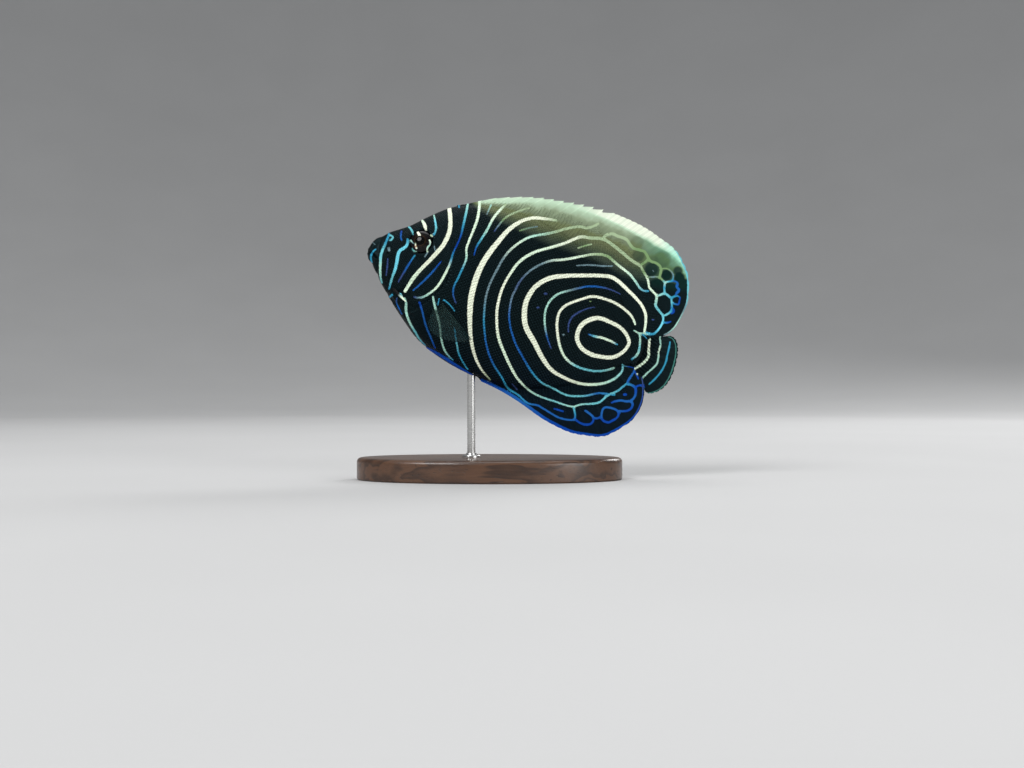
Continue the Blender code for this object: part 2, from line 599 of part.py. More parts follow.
def make_stand(materials, trunk):
    """The plinth, and a rod let into it and into the belly just ahead of the anal fin."""
    belly = read_profile(BELLY, ROD_AT) * STANDARD_LENGTH
    rod_x = -SNOUT_AHEAD + ROD_AT * math.cos(PITCH) + belly * math.sin(PITCH)
    belly_height = SNOUT_HEIGHT - ROD_AT * math.sin(PITCH) + belly * math.cos(PITCH)
    low, high = BASE_HEIGHT - ROD_SUNK, belly_height + ROD_SUNK
    base = make_base(materials["wood"])
    rod = upright_rod("stand_rod", rod_x, low, high, ROD_RADIUS, materials["steel"])
    shade_round(rod)
    cut(base, upright_rod("rod_seat", rod_x, low - SEAM, BASE_HEIGHT + DRILL_REACH, ROD_RADIUS + SEAM))
    cut(trunk, upright_rod("rod_socket", rod_x, belly_height - DRILL_REACH, high + SEAM, ROD_RADIUS + SEAM))


def make_fish_on_stand():
    """The whole model."""
    clear_scene()
    pose = bpy.data.objects.new("fish_pose", None)
    bpy.context.collection.objects.link(pose)
    pose.location = (-SNOUT_AHEAD, 0.0, SNOUT_HEIGHT)
    pose.rotation_euler = (0.0, PITCH, 0.0)
    materials = {
        "skin": make_material("skin", (0.012, 0.016, 0.03), 0.4),
        "fin": make_material("fin_web", (0.02, 0.03, 0.07), 0.4),
        "clear_fin": make_material("clear_fin", (0.05, 0.07, 0.07), 0.35),
        "eye": make_material("eye", (0.02, 0.012, 0.01), 0.1),
        "wood": make_material("dark_wood", (0.05, 0.022, 0.012), 0.35),
        "steel": make_material("steel", (0.6, 0.6, 0.6), 0.3, 1.0),
    }
    make_head(materials, pose)
    trunk, clearance = make_trunk(materials, pose)
    make_upright_fins(materials["fin"], pose)
    make_caudal_fin(materials["fin"], pose)
    for word, side in (("left", -1), ("right", 1)):
        make_pectoral_fin(word, side, clearance, materials["clear_fin"], pose)
        make_pelvic_fin(word, side, clearance, materials["fin"], pose)
    make_stand(materials, trunk)


make_fish_on_stand()
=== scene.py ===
"""Dresses the young emperor angelfish and its display stand.

Lengths are in metres unless a name says otherwise. The fish has a frame of its own: x runs from the
snout to the tail root, y to its right side and z up through its back. Its markings are drawn on a
side view, in the picture's pixels, and are carried from there to both flanks and to the fins.
"""

import logging
import math
from dataclasses import dataclass, field
from enum import Enum

import bpy
import numpy as np
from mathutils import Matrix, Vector
from mathutils.kdtree import KDTree


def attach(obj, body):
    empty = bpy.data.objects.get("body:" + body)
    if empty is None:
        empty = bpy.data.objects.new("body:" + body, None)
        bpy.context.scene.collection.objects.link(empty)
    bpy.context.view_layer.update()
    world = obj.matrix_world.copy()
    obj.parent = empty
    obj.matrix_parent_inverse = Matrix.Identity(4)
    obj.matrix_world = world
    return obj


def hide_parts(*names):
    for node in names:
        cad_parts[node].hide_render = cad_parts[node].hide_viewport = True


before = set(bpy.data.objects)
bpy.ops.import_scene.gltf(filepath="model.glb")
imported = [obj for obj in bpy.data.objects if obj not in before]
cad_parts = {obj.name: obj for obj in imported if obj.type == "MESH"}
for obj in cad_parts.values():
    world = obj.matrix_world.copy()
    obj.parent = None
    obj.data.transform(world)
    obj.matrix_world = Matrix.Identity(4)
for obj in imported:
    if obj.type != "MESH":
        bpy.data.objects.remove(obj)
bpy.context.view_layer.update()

Array = np.ndarray
Object = bpy.types.Object
MM = 0.001
BODY = "root"
log = logging.getLogger("angelfish")


class Tone(Enum):
    """The colours of the markings."""

    CREAM = (0.92, 0.98, 0.78)
    WHITE = (0.78, 0.97, 0.75)
    MINT = (0.42, 0.74, 0.62)
    AQUA = (0.19, 0.70, 0.85)
    CYAN = (0.16, 0.55, 0.62)
    AZURE = (0.035, 0.30, 0.48)
    BLUE = (0.012, 0.11, 0.40)
    ROYAL = (0.002, 0.052, 0.36)
    VIOLET = (0.038, 0.068, 0.21)
    GREY = (0.16, 0.255, 0.29)
    SAND = (0.38, 0.50, 0.30)
    KHAKI = (0.20, 0.33, 0.14)
    RUST = (0.42, 0.15, 0.04)
    PINE = (0.055, 0.20, 0.17)


C, W, M, L, Y, A, B, R, V, G, S, K, O, P = tuple(Tone)


@dataclass(frozen=True)
class Mark:
    """A stripe: its widths and tones, spread evenly along its line, all in the picture's pixels."""

    widths: tuple[float, ...]
    tones: tuple[Tone, ...]
    line: tuple[tuple[float, float], ...]


HEAD_MARKS = (
    Mark((1.4, 2.1, 1.4), (A,),
         ((375.4, 249.4), (372.6, 252.2), (371.1, 255.5), (371, 259), (371.9, 262))),
    Mark((1.8, 2.4, 2.6, 2.4, 1.6), (A, A, Y, Y, M, M, Y),
         ((389, 234), (385.4, 243.6), (381, 254.5), (380.4, 264), (380.4, 276), (381.8, 282.5))),
    Mark((1.6, 1.8), (Y, Y), ((390.6, 235.4), (392.8, 237.2), (390.6, 240.2))),
    Mark((1.6, 1.8, 1.2), (R, B, B), ((401.5, 231.5), (400.8, 236), (401.6, 240))),
    Mark((2.4,), (G,), ((388.8, 248.5), (389.2, 250))),
    Mark((1.3, 1.5, 1.1), (V,), ((387.8, 259), (387.3, 266), (386.2, 275))),
    Mark((2.0, 3.0, 3.2, 2.8, 2.2, 1.8), (A, L, L, L, L, L, Y, Y, A),
         ((407.6, 239.6), (406.6, 245.6), (399.2, 251.6), (397, 261), (395, 270), (392, 278),
          (389.2, 288.5))),
    Mark((1.5, 1.9, 1.9, 1.4), (A, B, B, V, V), ((414.7, 255.5), (409, 264), (403.5, 273), (398.6, 281.5))),
    Mark((1.6, 2.1, 1.6), (Y,), ((409, 227), (411.8, 230.5), (413, 234))),
    Mark((2.0, 3.2, 3.4, 2.0), (W, C), ((422.4, 220.6), (424.6, 225.1), (425.9, 229.6))),
    Mark((2.4, 2.8, 1.9), (C,), ((418, 232.6), (419.2, 234.7), (420.4, 237.2))),
    Mark((1.4, 1.8, 2.1, 1.6), (M, L, Y, A), ((434, 215.5), (435.5, 223), (436, 228.8), (433.8, 234.6))),
    Mark((1.6,), (W,), ((431, 235.2), (431.8, 236.2))),
    Mark((1.2, 0.9), (G,), ((434.4, 246.5), (434.8, 250))),
    Mark((1.5, 1.2), (G, G), ((427.6, 252.5), (425, 256.5))),
    Mark((3.8, 4.0, 4.2, 3.8, 3.4, 3.6, 2.8), (C, C, C, C, C, W, W),
         ((449, 207), (450.2, 217), (450.2, 226.6), (448.4, 234.8), (443.2, 245), (436.6, 253),
          (429, 261.1), (421.4, 268.7), (413.9, 277.4), (405.2, 291))),
    Mark((1.2, 1.9, 1.9, 1.5), (R, B, B, B), ((441, 261.5), (431.5, 273), (422, 282.5), (413.5, 290))),
    # A thin grey line along the upper lip's top edge: a painted highlight where the lip's outline catches the
    # light.
    Mark((0.5,), (G,), ((366.9, 249), (368.3, 244), (371, 242.2), (375, 244.5))),
)
EYE_MARKS = (
    Mark((1.8, 1.2), (M, G), ((410.8, 240.6), (413.2, 243.2))),
    Mark((2.4, 1.4), (C, O), ((419.4, 238.6), (418, 242))),
    Mark((1.6, 1.2, 1.7, 1.8), (C, O, S, C, O, C),
         ((417.6, 240.2), (416, 242.8), (415.5, 245), (416.4, 248))),
    Mark((1.0, 1.6, 1.0), (Y, M), ((412.2, 248.4), (414.2, 250.9), (416.4, 251.4))),
    Mark((1.7, 1.3, 1.9, 1.5), (W, M, W), ((429.6, 240.4), (430.2, 244), (427.6, 247.6), (427.2, 251.4))),
)
FLANK_MARKS = (
    Mark((2.0, 2.3, 2.0, 1.6, 1.6, 2.2, 2.4, 2.2, 2.0, 1.6), (M, Y, A, R, R, A, W, W, W, M, V),
         ((468, 203.2), (463.8, 223.2), (460.3, 237.2), (453.5, 252.4), (449.7, 264), (444.1, 275.8),
          (437, 287), (428.5, 294), (421, 297.5), (414.5, 297))),
    Mark((2.6, 2.6, 2.6, 2.2, 2.1, 2.0, 2.0, 1.8, 1.6, 1.2), (W, W, W, W, W, M, A, A, B, V),
         ((479.5, 201), (477.8, 217.4), (471.8, 234.2), (466.6, 248), (466.4, 258), (464, 265),
          (458.8, 276.4), (454.6, 285.2), (453, 292), (456, 303))),
    Mark((1.5, 1.0), (M, G), ((491, 205), (487, 214))),
    Mark((2.4, 2.4, 2.4, 2.1, 1.9, 1.3), (S, W, W, W, M, M, Y, A, B, R),
         ((505, 205), (500.4, 209.6), (494, 217.2), (487, 230), (481.4, 239), (476.6, 246.8), (474.2, 255))),
    Mark((1.4, 1.8, 1.8, 1.4), (S, S, S, S, K, G, V),
         ((529, 208), (514, 213), (505, 218), (499, 225), (494.5, 231))),
    Mark((1.5,), (A,), ((458.6, 203.6), (459.1, 207))),
    Mark((2.2, 3.0, 3.2, 4.1, 4.5, 5.2, 5.3, 5.6, 5.8, 5.5, 4.4, 3.5, 2.9, 2.2, 1.2),
         (S, C, C, C, C, C, C, C, C, C, C, C, C, S),
         ((556, 220.4), (543, 218.5), (532, 218), (520.6, 221.6), (509, 229.5), (498.4, 241.4),
          (486.7, 256.7), (479.5, 269.7), (474, 285), (470.7, 301), (469.9, 315), (470.3, 332), (472.9, 349),
          (478.4, 364.3), (490, 379.5))),
    Mark((2.4, 2.6, 2.4, 2.2, 2.2, 2.0, 1.8, 1.8, 1.9, 1.8, 1.8, 1.8),
         (S, S, S, M, W, G, G, G, A, B, B, A, A, B, B, B),
         ((598, 223.8), (587, 227.9), (579.6, 226.6), (566, 228.8), (557.6, 231.2), (546.4, 233.8),
          (530, 237), (516, 245), (505.8, 255), (497.6, 268.6), (487.6, 290.3), (484, 315), (484.6, 332),
          (487.4, 349), (493.2, 364), (501.4, 376.8), (508.2, 388.4), (517, 394), (528, 403.3),
          (537.6, 405.4), (544, 409), (560, 418), (574, 420))),
    Mark((2.8, 3.1, 3.1, 3.2, 2.8, 2.7, 2.8, 2.6, 2.4, 2.7, 2.5, 2.8, 2.7, 2.2, 1.8, 1.7, 1.6, 1.9, 2.1, 1.8),
         (S, S, S, S, C, W, W, W, C, C, C, W, W, W, M, Y, M, Y, Y, A),
         ((641, 266), (637.3, 263.8), (632.3, 260.9), (622.7, 253), (610.5, 243.3), (603, 239), (591, 238),
          (581, 236.8), (573.4, 239.4), (565.4, 243), (551.6, 247.2), (534.6, 252.2), (520, 261.2),
          (510, 274), (502.5, 288), (497.4, 307), (496.8, 322), (498.4, 337), (505.3, 355.3), (512, 369.4),
          (518.2, 379.4), (530.2, 391), (540, 396.4), (553.5, 401), (573, 406.6), (580.2, 404.6),
          (599, 402.4), (607.4, 395.6), (617.4, 391), (622, 387.4), (627, 383.4))),
    Mark((1.8,), (Y, A, B), ((573, 406.6), (575.2, 414.6), (574.6, 419))),
    Mark((2.2, 2.4, 2.1, 1.9, 2.1, 2.5, 2.5, 2.0, 1.9, 2.0, 2.3, 2.6),
         (S, K, W, W, W, M, Y, Y, L, L, A, A),
         ((641, 266), (643, 270.9), (646.8, 277.3), (648.5, 282.3), (649.2, 287.3), (653, 291.6),
          (656.5, 295.9), (656.2, 300.9), (655.5, 305.1), (658.8, 310.4), (662.6, 315.2), (663.1, 320.1),
          (661.5, 324.6), (658, 330.1), (653, 334), (646.6, 333))),
    Mark((1.8, 2.2, 2.4, 2.7, 2.4, 2.4, 2.2, 2.0, 2.0, 1.9, 1.8, 1.9, 1.9, 2.0, 1.8, 1.8, 1.9, 1.9, 1.8),
         (A, M, W, K, S, W, W, G, G, V, G, B, B, B, B, A, Y, Y, Y, B, A),
         ((648, 291), (643.6, 290.6), (640, 288), (635.2, 281), (629, 273.6), (618, 265), (607, 256),
          (595, 254.2), (580, 256.6), (565, 259.4), (550, 261), (536, 266.8), (527.2, 273.2), (519, 282.8),
          (515.6, 289.6), (512, 297), (509.2, 315), (510.6, 328), (515.7, 344), (521.6, 355), (531, 370.8),
          (541.2, 382.3), (553.7, 388.6), (567, 395.2), (583, 396), (599, 393.2), (607, 393.9),
          (614, 394.9))),
    Mark((2.2, 2.7, 3.0, 3.5, 3.6, 3.6, 3.8, 4.4, 4.4, 4.9, 5.2, 5.3, 4.7, 3.9, 3.0, 2.8, 2.6, 2.4, 1.6),
         (W, C, C, C, C, C, C, C, C, C, C, C, C, W, M, Y),
         ((644.4, 331), (645.8, 321), (645.4, 313.6), (641.8, 305.4), (634.8, 297), (626, 288.4), (618, 281),
          (611, 277), (599, 275.6), (580, 275.5), (567, 275.8), (549, 278.4), (535.6, 286.6),
          (527, 299.5), (524.3, 313), (526, 327), (534, 341.7), (542.2, 357.5), (551.2, 369.6), (567, 379),
          (583, 384), (602, 383.6), (614, 379), (622, 371), (622.4, 365))),
    Mark((1.0, 1.7, 1.9, 1.9, 2.1, 2.1, 1.9, 1.7, 1.2), (V, V, B, B, G, M, M, M, M, B, V),
         ((620, 294), (614, 291), (603, 287.5), (588, 286.4), (571.6, 290), (558.5, 293.9), (550, 301),
          (545.6, 310), (544.6, 320), (546, 332.5), (551, 348))),
    Mark((1.8, 2.5, 2.5, 2.6, 2.5, 2.4, 2.6, 2.5, 2.4, 2.2, 2.1, 2.0),
         (W, C, C, C, C, C, C, C, C, C, W, W, Y, Y, Y, M),
         ((635, 324), (632, 317), (627, 311.4), (617, 304), (605, 299), (593, 296.5), (580.5, 299.5),
          (565, 306), (559, 313), (557, 324), (558, 337), (560.6, 348.3), (566.2, 358.8), (577, 366.5),
          (594, 371), (605, 370.5), (613.6, 368))),
    Mark((1.0, 1.6, 1.8, 1.2), (V,),
         ((594.5, 307.3), (585, 309.5), (573.4, 315.9), (569, 323), (568.5, 331.6))),
    Mark((4.2, 4.2, 4.4, 3.9, 3.5, 3.4, 3.3, 3.3, 3.7, 3.8, 4.1, 4.0, 4.2), (C,),
         ((577, 336), (582.3, 324.3), (597, 318), (610, 322), (622.5, 329.5), (629, 342), (624, 351),
          (613.6, 357), (603, 357), (589.5, 353.6), (580, 346), (577, 336))),
    Mark((1.4, 2.0, 2.4, 2.4, 2.2, 1.4), (B, Y, W, W, W, A),
         ((588.8, 334.4), (595.8, 336.6), (602.9, 338), (617, 344.4))),
    Mark((1.4, 1.2), (K, G), ((520, 230.7), (529, 228.1), (537, 226.7))),
    Mark((1.5, 1.6, 1.4), (S, K, S), ((578.3, 248), (585.3, 245.7), (591.2, 244.3))),
    Mark((1.2, 1.6, 1.4), (G,), ((577, 265.6), (590, 265), (603, 266), (612, 266))),
    Mark((2.0,), (V,), ((545.2, 293.7), (546.2, 293.7))),
    Mark((1.8,), (V,), ((537.6, 307.5), (538.6, 307.5))),
    Mark((1.6,), (G,), ((563.2, 334.7), (564, 334.7))),
    Mark((0.8,), (K,), ((590, 301.4), (591, 301.4))),
)
TAIL_MARKS = (
    Mark((1.0, 1.6, 2.0, 2.3, 2.3, 1.8), (M, M, M, Y, M, A),
         ((634, 330.6), (639.2, 334.4), (640, 342), (638.1, 353), (632, 359))),
    Mark((2.2, 2.4, 2.6, 2.4), (W, C, W, W, W, W),
         ((649.6, 339), (648.7, 349), (648.1, 357.3), (635.2, 368.3))),
    Mark((1.8,), (M, M, W, M, M, M, M, M),
         ((660.4, 337.5), (661, 345), (659.2, 352), (659, 357.5), (657.6, 363.5), (653.6, 368),
          (649.4, 371.5), (643.2, 377.3))),
    Mark((1.4, 2.0, 1.5, 2.0, 1.5, 2.0, 1.5, 1.9, 1.4), (A,),
         ((671.4, 341.8), (669.8, 349.7), (668.4, 355), (667.2, 361), (665, 366.4), (660.4, 373.8),
          (650.4, 384))),
)
NET_TOPS = (
    Mark((2.6, 3.2, 3.2, 3.0, 3.0), (S,), ((604, 237.2), (607.4, 234.6), (612.9, 234), (618, 236.2),
                                          (623.4, 237.9), (626.6, 239.6))),
    Mark((2.8, 2.8, 2.4), (S, K, K), ((626, 239), (628.2, 241.6), (630.6, 245.2), (633.8, 248.4),
                                      (639, 249.8), (644.2, 251.6), (646.8, 254.8), (648, 258))),
    Mark((2.6, 2.4), (K,), ((648, 257.6), (651, 261.2), (656.4, 263.2), (660.2, 266.6), (661, 270),
                            (660.5, 273.4), (659.4, 277.2))),
    Mark((1.4, 1.5, 1.7), (K, G, K), ((659.4, 277), (655, 276.9), (647, 277.5))),
    Mark((2.4, 2.2), (K,), ((648.2, 258.6), (646, 261.4), (641, 264.8))),
    Mark((2.0, 1.8, 2.1), (K, K, Y), ((659.6, 276.4), (661.6, 279.2), (665, 282.4))),
    Mark((1.3, 1.5, 1.3), (K, K, G, A), ((660.6, 269.4), (664.4, 268.4), (668.4, 269.2), (671.8, 272.2),
                                         (673.3, 275.6), (672.4, 280.4))),
    Mark((1.4, 1.8, 1.4), (M, Y, A, B, B), ((665, 282.2), (668.8, 281.6), (672.8, 281), (676.2, 281.8))),
    Mark((2.0, 1.9, 2.2), (M, A, Y), ((665, 282.2), (664.4, 287.3), (664.8, 293))),
    Mark((2.2, 2.0), (Y, M), ((664.8, 293), (660.1, 294.9), (657, 295.9))),
    Mark((2.1, 2.3, 1.8, 1.2), (Y, Y, A, A, B), ((664.8, 293), (668, 295.5), (671, 297.5), (674.4, 296.4),
                                                 (677.3, 296), (680, 297.4))),
    Mark((1.4, 2.9, 2.2, 2.9, 1.6), (B,), ((676.4, 281.8), (677.4, 283.6), (677, 287), (679, 290),
                                           (676.8, 293), (675.8, 295))),
    Mark((1.8, 1.9, 1.8, 2.2, 1.8), (A, Y, A, A, Y, Y), ((671.2, 297.6), (671.7, 303), (671.9, 307.6),
                                                         (670.6, 311.5), (667, 314.4), (663.4, 315.7))),
    Mark((1.2, 1.6, 1.8, 1.4), (R, R, B, A), ((680, 297.4), (679.4, 301), (678.3, 304.4), (675, 304),
                                              (672, 303.2))),
    Mark((1.6, 2.8, 1.8), (B, R, R), ((671.6, 307.6), (673.6, 311.2), (671.6, 313.2))),
    Mark((2.0, 1.9, 1.2), (A, B, R), ((663.6, 322.4), (667.6, 322.6), (670.6, 321.6))),
    Mark((1.1, 1.4, 1.8, 2.2), (W, M, M, L), ((636.2, 331.9), (639.4, 333), (643, 333.5), (649, 333.8))),
    Mark((1.2, 0.7), (A,), ((642.4, 334), (646.8, 338.6))),
    Mark((1.2,), (V,), ((652.6, 319.7), (653.4, 319.7))),
    Mark((0.6,), (G,), ((653, 270.6), (653.6, 271.4))),
)
NET_FEET = (
    Mark((2.0, 2.3, 2.0), (R,), ((575, 419), (584, 424.4), (591.4, 423.4), (593.6, 418))),
    Mark((2.2, 2.0), (B, B, R), ((585.8, 411), (590.4, 414.3), (595, 418.2), (600.5, 417))),
    Mark((2.0, 2.2), (B, B, B, R, R, R),
         ((601.7, 418), (601.7, 413), (604, 407.9), (609.7, 407.6), (617, 410.6), (618.6, 413.6),
          (616.8, 417.8), (612.4, 420.6), (608, 422.4), (603.6, 420.8), (601.7, 418))),
    Mark((2.0, 2.3, 2.0), (B, R, R, B, B, B, R),
         ((619, 411), (630, 409.4), (632.7, 404), (630.4, 401.6), (625.8, 401.3), (620, 400.5),
          (612, 402.5))),
    Mark((2.0, 2.5, 2.3), (B, B, R, B, A), ((630, 401), (635, 396), (635, 387.6), (627, 384))),
    Mark((2.2, 2.3, 1.9), (B,), ((627, 384), (628.6, 380), (631.8, 375.2), (634.2, 371))),
    Mark((1.8, 2.1), (R,), ((635, 387.6), (641, 385.2), (645, 387))),
    Mark((1.5, 1.5), (R,), ((634.6, 371.4), (636.4, 374.6), (638.2, 378.6))),
    Mark((2.5,), (R,), ((624.6, 394.5), (625.6, 394.5))),
    Mark((1.4,), (W,), ((636.5, 374), (637, 374))),
    Mark((1.6, 1.8), (R,), ((554.6, 408.8), (562.7, 411.2))),
    Mark((1.2, 1.2), (V,), ((512.4, 384), (516.7, 389))),
    Mark((0.8,), (Y, R, R), ((623, 365.8), (629, 366.8), (634, 368))),
)
BELLY_MARKS = (
    Mark((2.1, 1.6), (A,), ((391.8, 295.1), (388.5, 298))),
    Mark((1.2,), (V, B, B, B), ((397, 298), (396.4, 301), (397.2, 304.6), (399, 308.4), (401.6, 313.8))),
    Mark((1.4, 1.8), (L, M), ((400.4, 293.8), (401.6, 295.6), (402.2, 298))),
    Mark((2.0, 2.5, 2.3, 2.1, 2.0, 1.7, 1.4), (M, M, M, M, Y, Y, A),
         ((404.6, 298.6), (406, 303), (406, 311), (409, 321), (415.4, 332.4), (419.6, 339.2), (425, 345))),
    Mark((2.1, 1.6, 1.9, 1.6, 1.2), (R, B, B, B, R),
         ((419.6, 302.6), (421.6, 309), (426, 326), (431, 338), (435, 348))),
    Mark((1.9, 2.3, 2.2, 1.9, 1.9, 1.7, 1.2), (M, M, M, M, M, A),
         ((433, 297), (435, 307), (438, 318), (440, 327), (441.5, 340), (445, 351), (453, 360))),
    Mark((1.2, 1.6, 1.6, 1.2), (A, A, Y, A, A, A), ((454.5, 328), (456.6, 343), (459.3, 355), (467.6, 369))),
    Mark((1.0,), (A,), ((439, 299), (438, 304.6))),
    Mark((1.4, 1.2, 1.0), (A,), ((444, 300), (450, 305), (454.5, 311))),
    Mark((2.0, 3.0, 3.0, 2.6, 2.0), (R,),
         ((425.6, 347.6), (439.3, 354.8), (454.3, 364.4), (468, 372.9), (476, 377.6))),
)
PALE_EDGE = ((468, 201.5), (480, 198.6), (500, 196.6), (520, 197), (540, 199), (560, 202), (600, 212.6),
             (640, 226.6), (654.4, 232.4), (665.5, 240), (673.6, 247), (680.3, 256), (686.5, 267), (689, 277),
             (690, 286))
GLOW = ((2.2, 0.6), (8.0, 0.4), (8.0, 0.4), (5.0, 0.3), (2.8, 0.12), (2.8, 0.12), (3.2, 0.3), (4.0, 0.95),
        (6.0, 1.0), (8.8, 1.0), (10.0, 0.92), (6.0, 0.85), (2.4, 0.6), (1.4, 0.6))
PALE_FROM = ((471, 206), (490, 219), (515, 232), (545, 247), (575, 258), (600, 268), (622, 280), (640, 285),
             (660, 286), (676, 287), (688, 286))
DARK_CELLS = ((651.6, 269.2, 7.6, 0.30), (666.7, 274.8, 5.8, 0.12), (677.8, 270.9, 4.8, 0.25),
              (679.5, 277.8, 5.6, 0.02), (684.2, 284.0, 5.6, 0.0), (656.6, 286.4, 7.8, 0.0),
              (671.0, 288.9, 6.2, 0.0), (638.6, 255.3, 6.6, 0.62), (662.5, 259.5, 8.6, 0.80),
              (654, 260.6, 5.0, 0.85), (636.7, 242.7, 7.2, 0.85))


def smooth_through(stations: Array, at: Array, places: Array) -> Array:
    """Reads a smooth curve through stations.

    Args:
        stations: The points, one row each.
        at: Rising values, one for each point.
        places: The values to read the curve at.

    Returns:
        A row for each place.
    """
    at = np.asarray(at, float)
    stations = np.asarray(stations, float)
    places = np.clip(np.asarray(places, float), at[0], at[-1])
    step = np.diff(at)
    rise = np.diff(stations, axis=0) / step[:, None]
    slope = np.empty_like(stations)
    slope[1:-1] = (rise[:-1] * step[1:, None] + rise[1:] * step[:-1, None]) / (step[:-1] + step[1:])[:, None]
    slope[0], slope[-1] = 2 * rise[0] - slope[1], 2 * rise[-1] - slope[-2]
    k = np.clip(np.searchsorted(at, places, side="right") - 1, 0, len(step) - 1)
    span = step[k][:, None]
    t = ((places - at[k]) / step[k])[:, None]
    near = stations[k] * (1 + 2 * t) * (1 - t) ** 2 + slope[k] * span * t * (1 - t) ** 2
    far = stations[k + 1] * t * t * (3 - 2 * t) + slope[k + 1] * span * t * t * (t - 1)
    return near + far


def ease(value: Array, low: float, high: float) -> Array:
    """Rises smoothly from 0 at low to 1 at high."""
    t = np.clip((value - low) / (high - low), 0.0, 1.0)
    return t * t * (3 - 2 * t)


def unit(vectors: Array) -> Array:
    """The vectors at length one."""
    return vectors / np.maximum(np.linalg.norm(vectors, axis=-1, keepdims=True), 1e-12)


class CurveSet:
    """Curves on a plane, each with values along it, that answers which place on them is nearest."""

    def __init__(self, step: float) -> None:
        """Starts with no curves.

        Args:
            step: The distance between the samples on a curve.
        """
        self.step = step
        self.parts: list[tuple[Array, Array, Array]] = []

    def add(self, line: Array, values: Array) -> None:
        """Adds one curve.

        Args:
            line: The points that it passes through; a loop ends where it starts.
            values: Rows of values, spread evenly along it.
        """
        line = np.asarray(line, float)
        values = np.atleast_2d(np.asarray(values, float))
        loop = len(line) > 3 and np.allclose(line[0], line[-1])
        if loop:
            line = np.concatenate([line[-3:-1], line, line[1:3]])
        gaps = np.linalg.norm(np.diff(line, axis=0), axis=1)
        at = np.concatenate([[0.0], np.cumsum(np.sqrt(gaps))])
        first, last = (at[2], at[-3]) if loop else (at[0], at[-1])
        count = max(3, int(gaps.sum() / self.step) + 1)
        points = smooth_through(line, at, np.linspace(first, last, count)) if len(line) > 2 else \
            line[0] + (line[1] - line[0]) * np.linspace(0, 1, count)[:, None]
        run = np.concatenate([[0.0], np.cumsum(np.linalg.norm(np.diff(points, axis=0), axis=1))])
        share = run / run[-1]
        at = np.linspace(0, 1, len(values))
        carried = np.stack([np.interp(share, at, column) for column in values.T], 1)
        self.parts.append((points, unit(np.gradient(points, axis=0)), np.column_stack([share, carried])))

    def settle(self) -> None:
        """Joins the curves and sorts their samples for the search."""
        self.points, self.along, self.values = (np.concatenate(part) for part in zip(*self.parts))
        self.tree = KDTree(len(self.points))
        for k, (x, y) in enumerate(self.points):
            self.tree.insert((x, y, 0.0), k)
        self.tree.balance()

    def nearest(self, places: Array) -> tuple[Array, Array, Array]:
        """Finds the nearest place on the curves.

        Args:
            places: The points to look from.

        Returns:
            How far each lies to one side of its curve, how far past the curve's end, and the values there.
        """
        index = np.fromiter((self.tree.find((x, y, 0.0))[1] for x, y in places), int, len(places))
        away = places - self.points[index]
        along = self.along[index]
        side = along[:, 0] * away[:, 1] - along[:, 1] * away[:, 0]
        past = np.maximum(np.abs((along * away).sum(1)) - 0.6 * self.step, 0.0)
        return side, past, self.values[index]


@dataclass(frozen=True)
class SideView:
    """The camera, level and square to the fish's left flank, and what it sees where."""

    distance: float = 0.5148
    across: float = 0.0081
    height: float = 0.0345
    lens: float = 50.0
    sensor: float = 36.0
    wide: int = 1024
    high: int = 768

    def seen(self, points: Array) -> Array:
        """Where world points fall in the picture.

        Args:
            points: Rows of x, y and z.

        Returns:
            Rows of pixels across and down.
        """
        scale = self.lens / self.sensor * self.wide / (self.distance + points[:, 1])
        return np.stack([self.wide / 2 + (points[:, 0] - self.across) * scale,
                         self.high / 2 - (points[:, 2] - self.height) * scale], 1)

    def place_camera(self) -> None:
        """Makes the scene's camera."""
        data = bpy.data.cameras.new("side_view")
        data.lens, data.sensor_width = self.lens, self.sensor
        data.clip_start, data.clip_end = 0.01, 20.0
        camera = bpy.data.objects.new("side_view", data)
        camera.location = (self.across, -self.distance, self.height)
        camera.rotation_euler = (math.pi / 2, 0.0, 0.0)
        bpy.context.scene.collection.objects.link(camera)
        bpy.context.scene.camera = camera


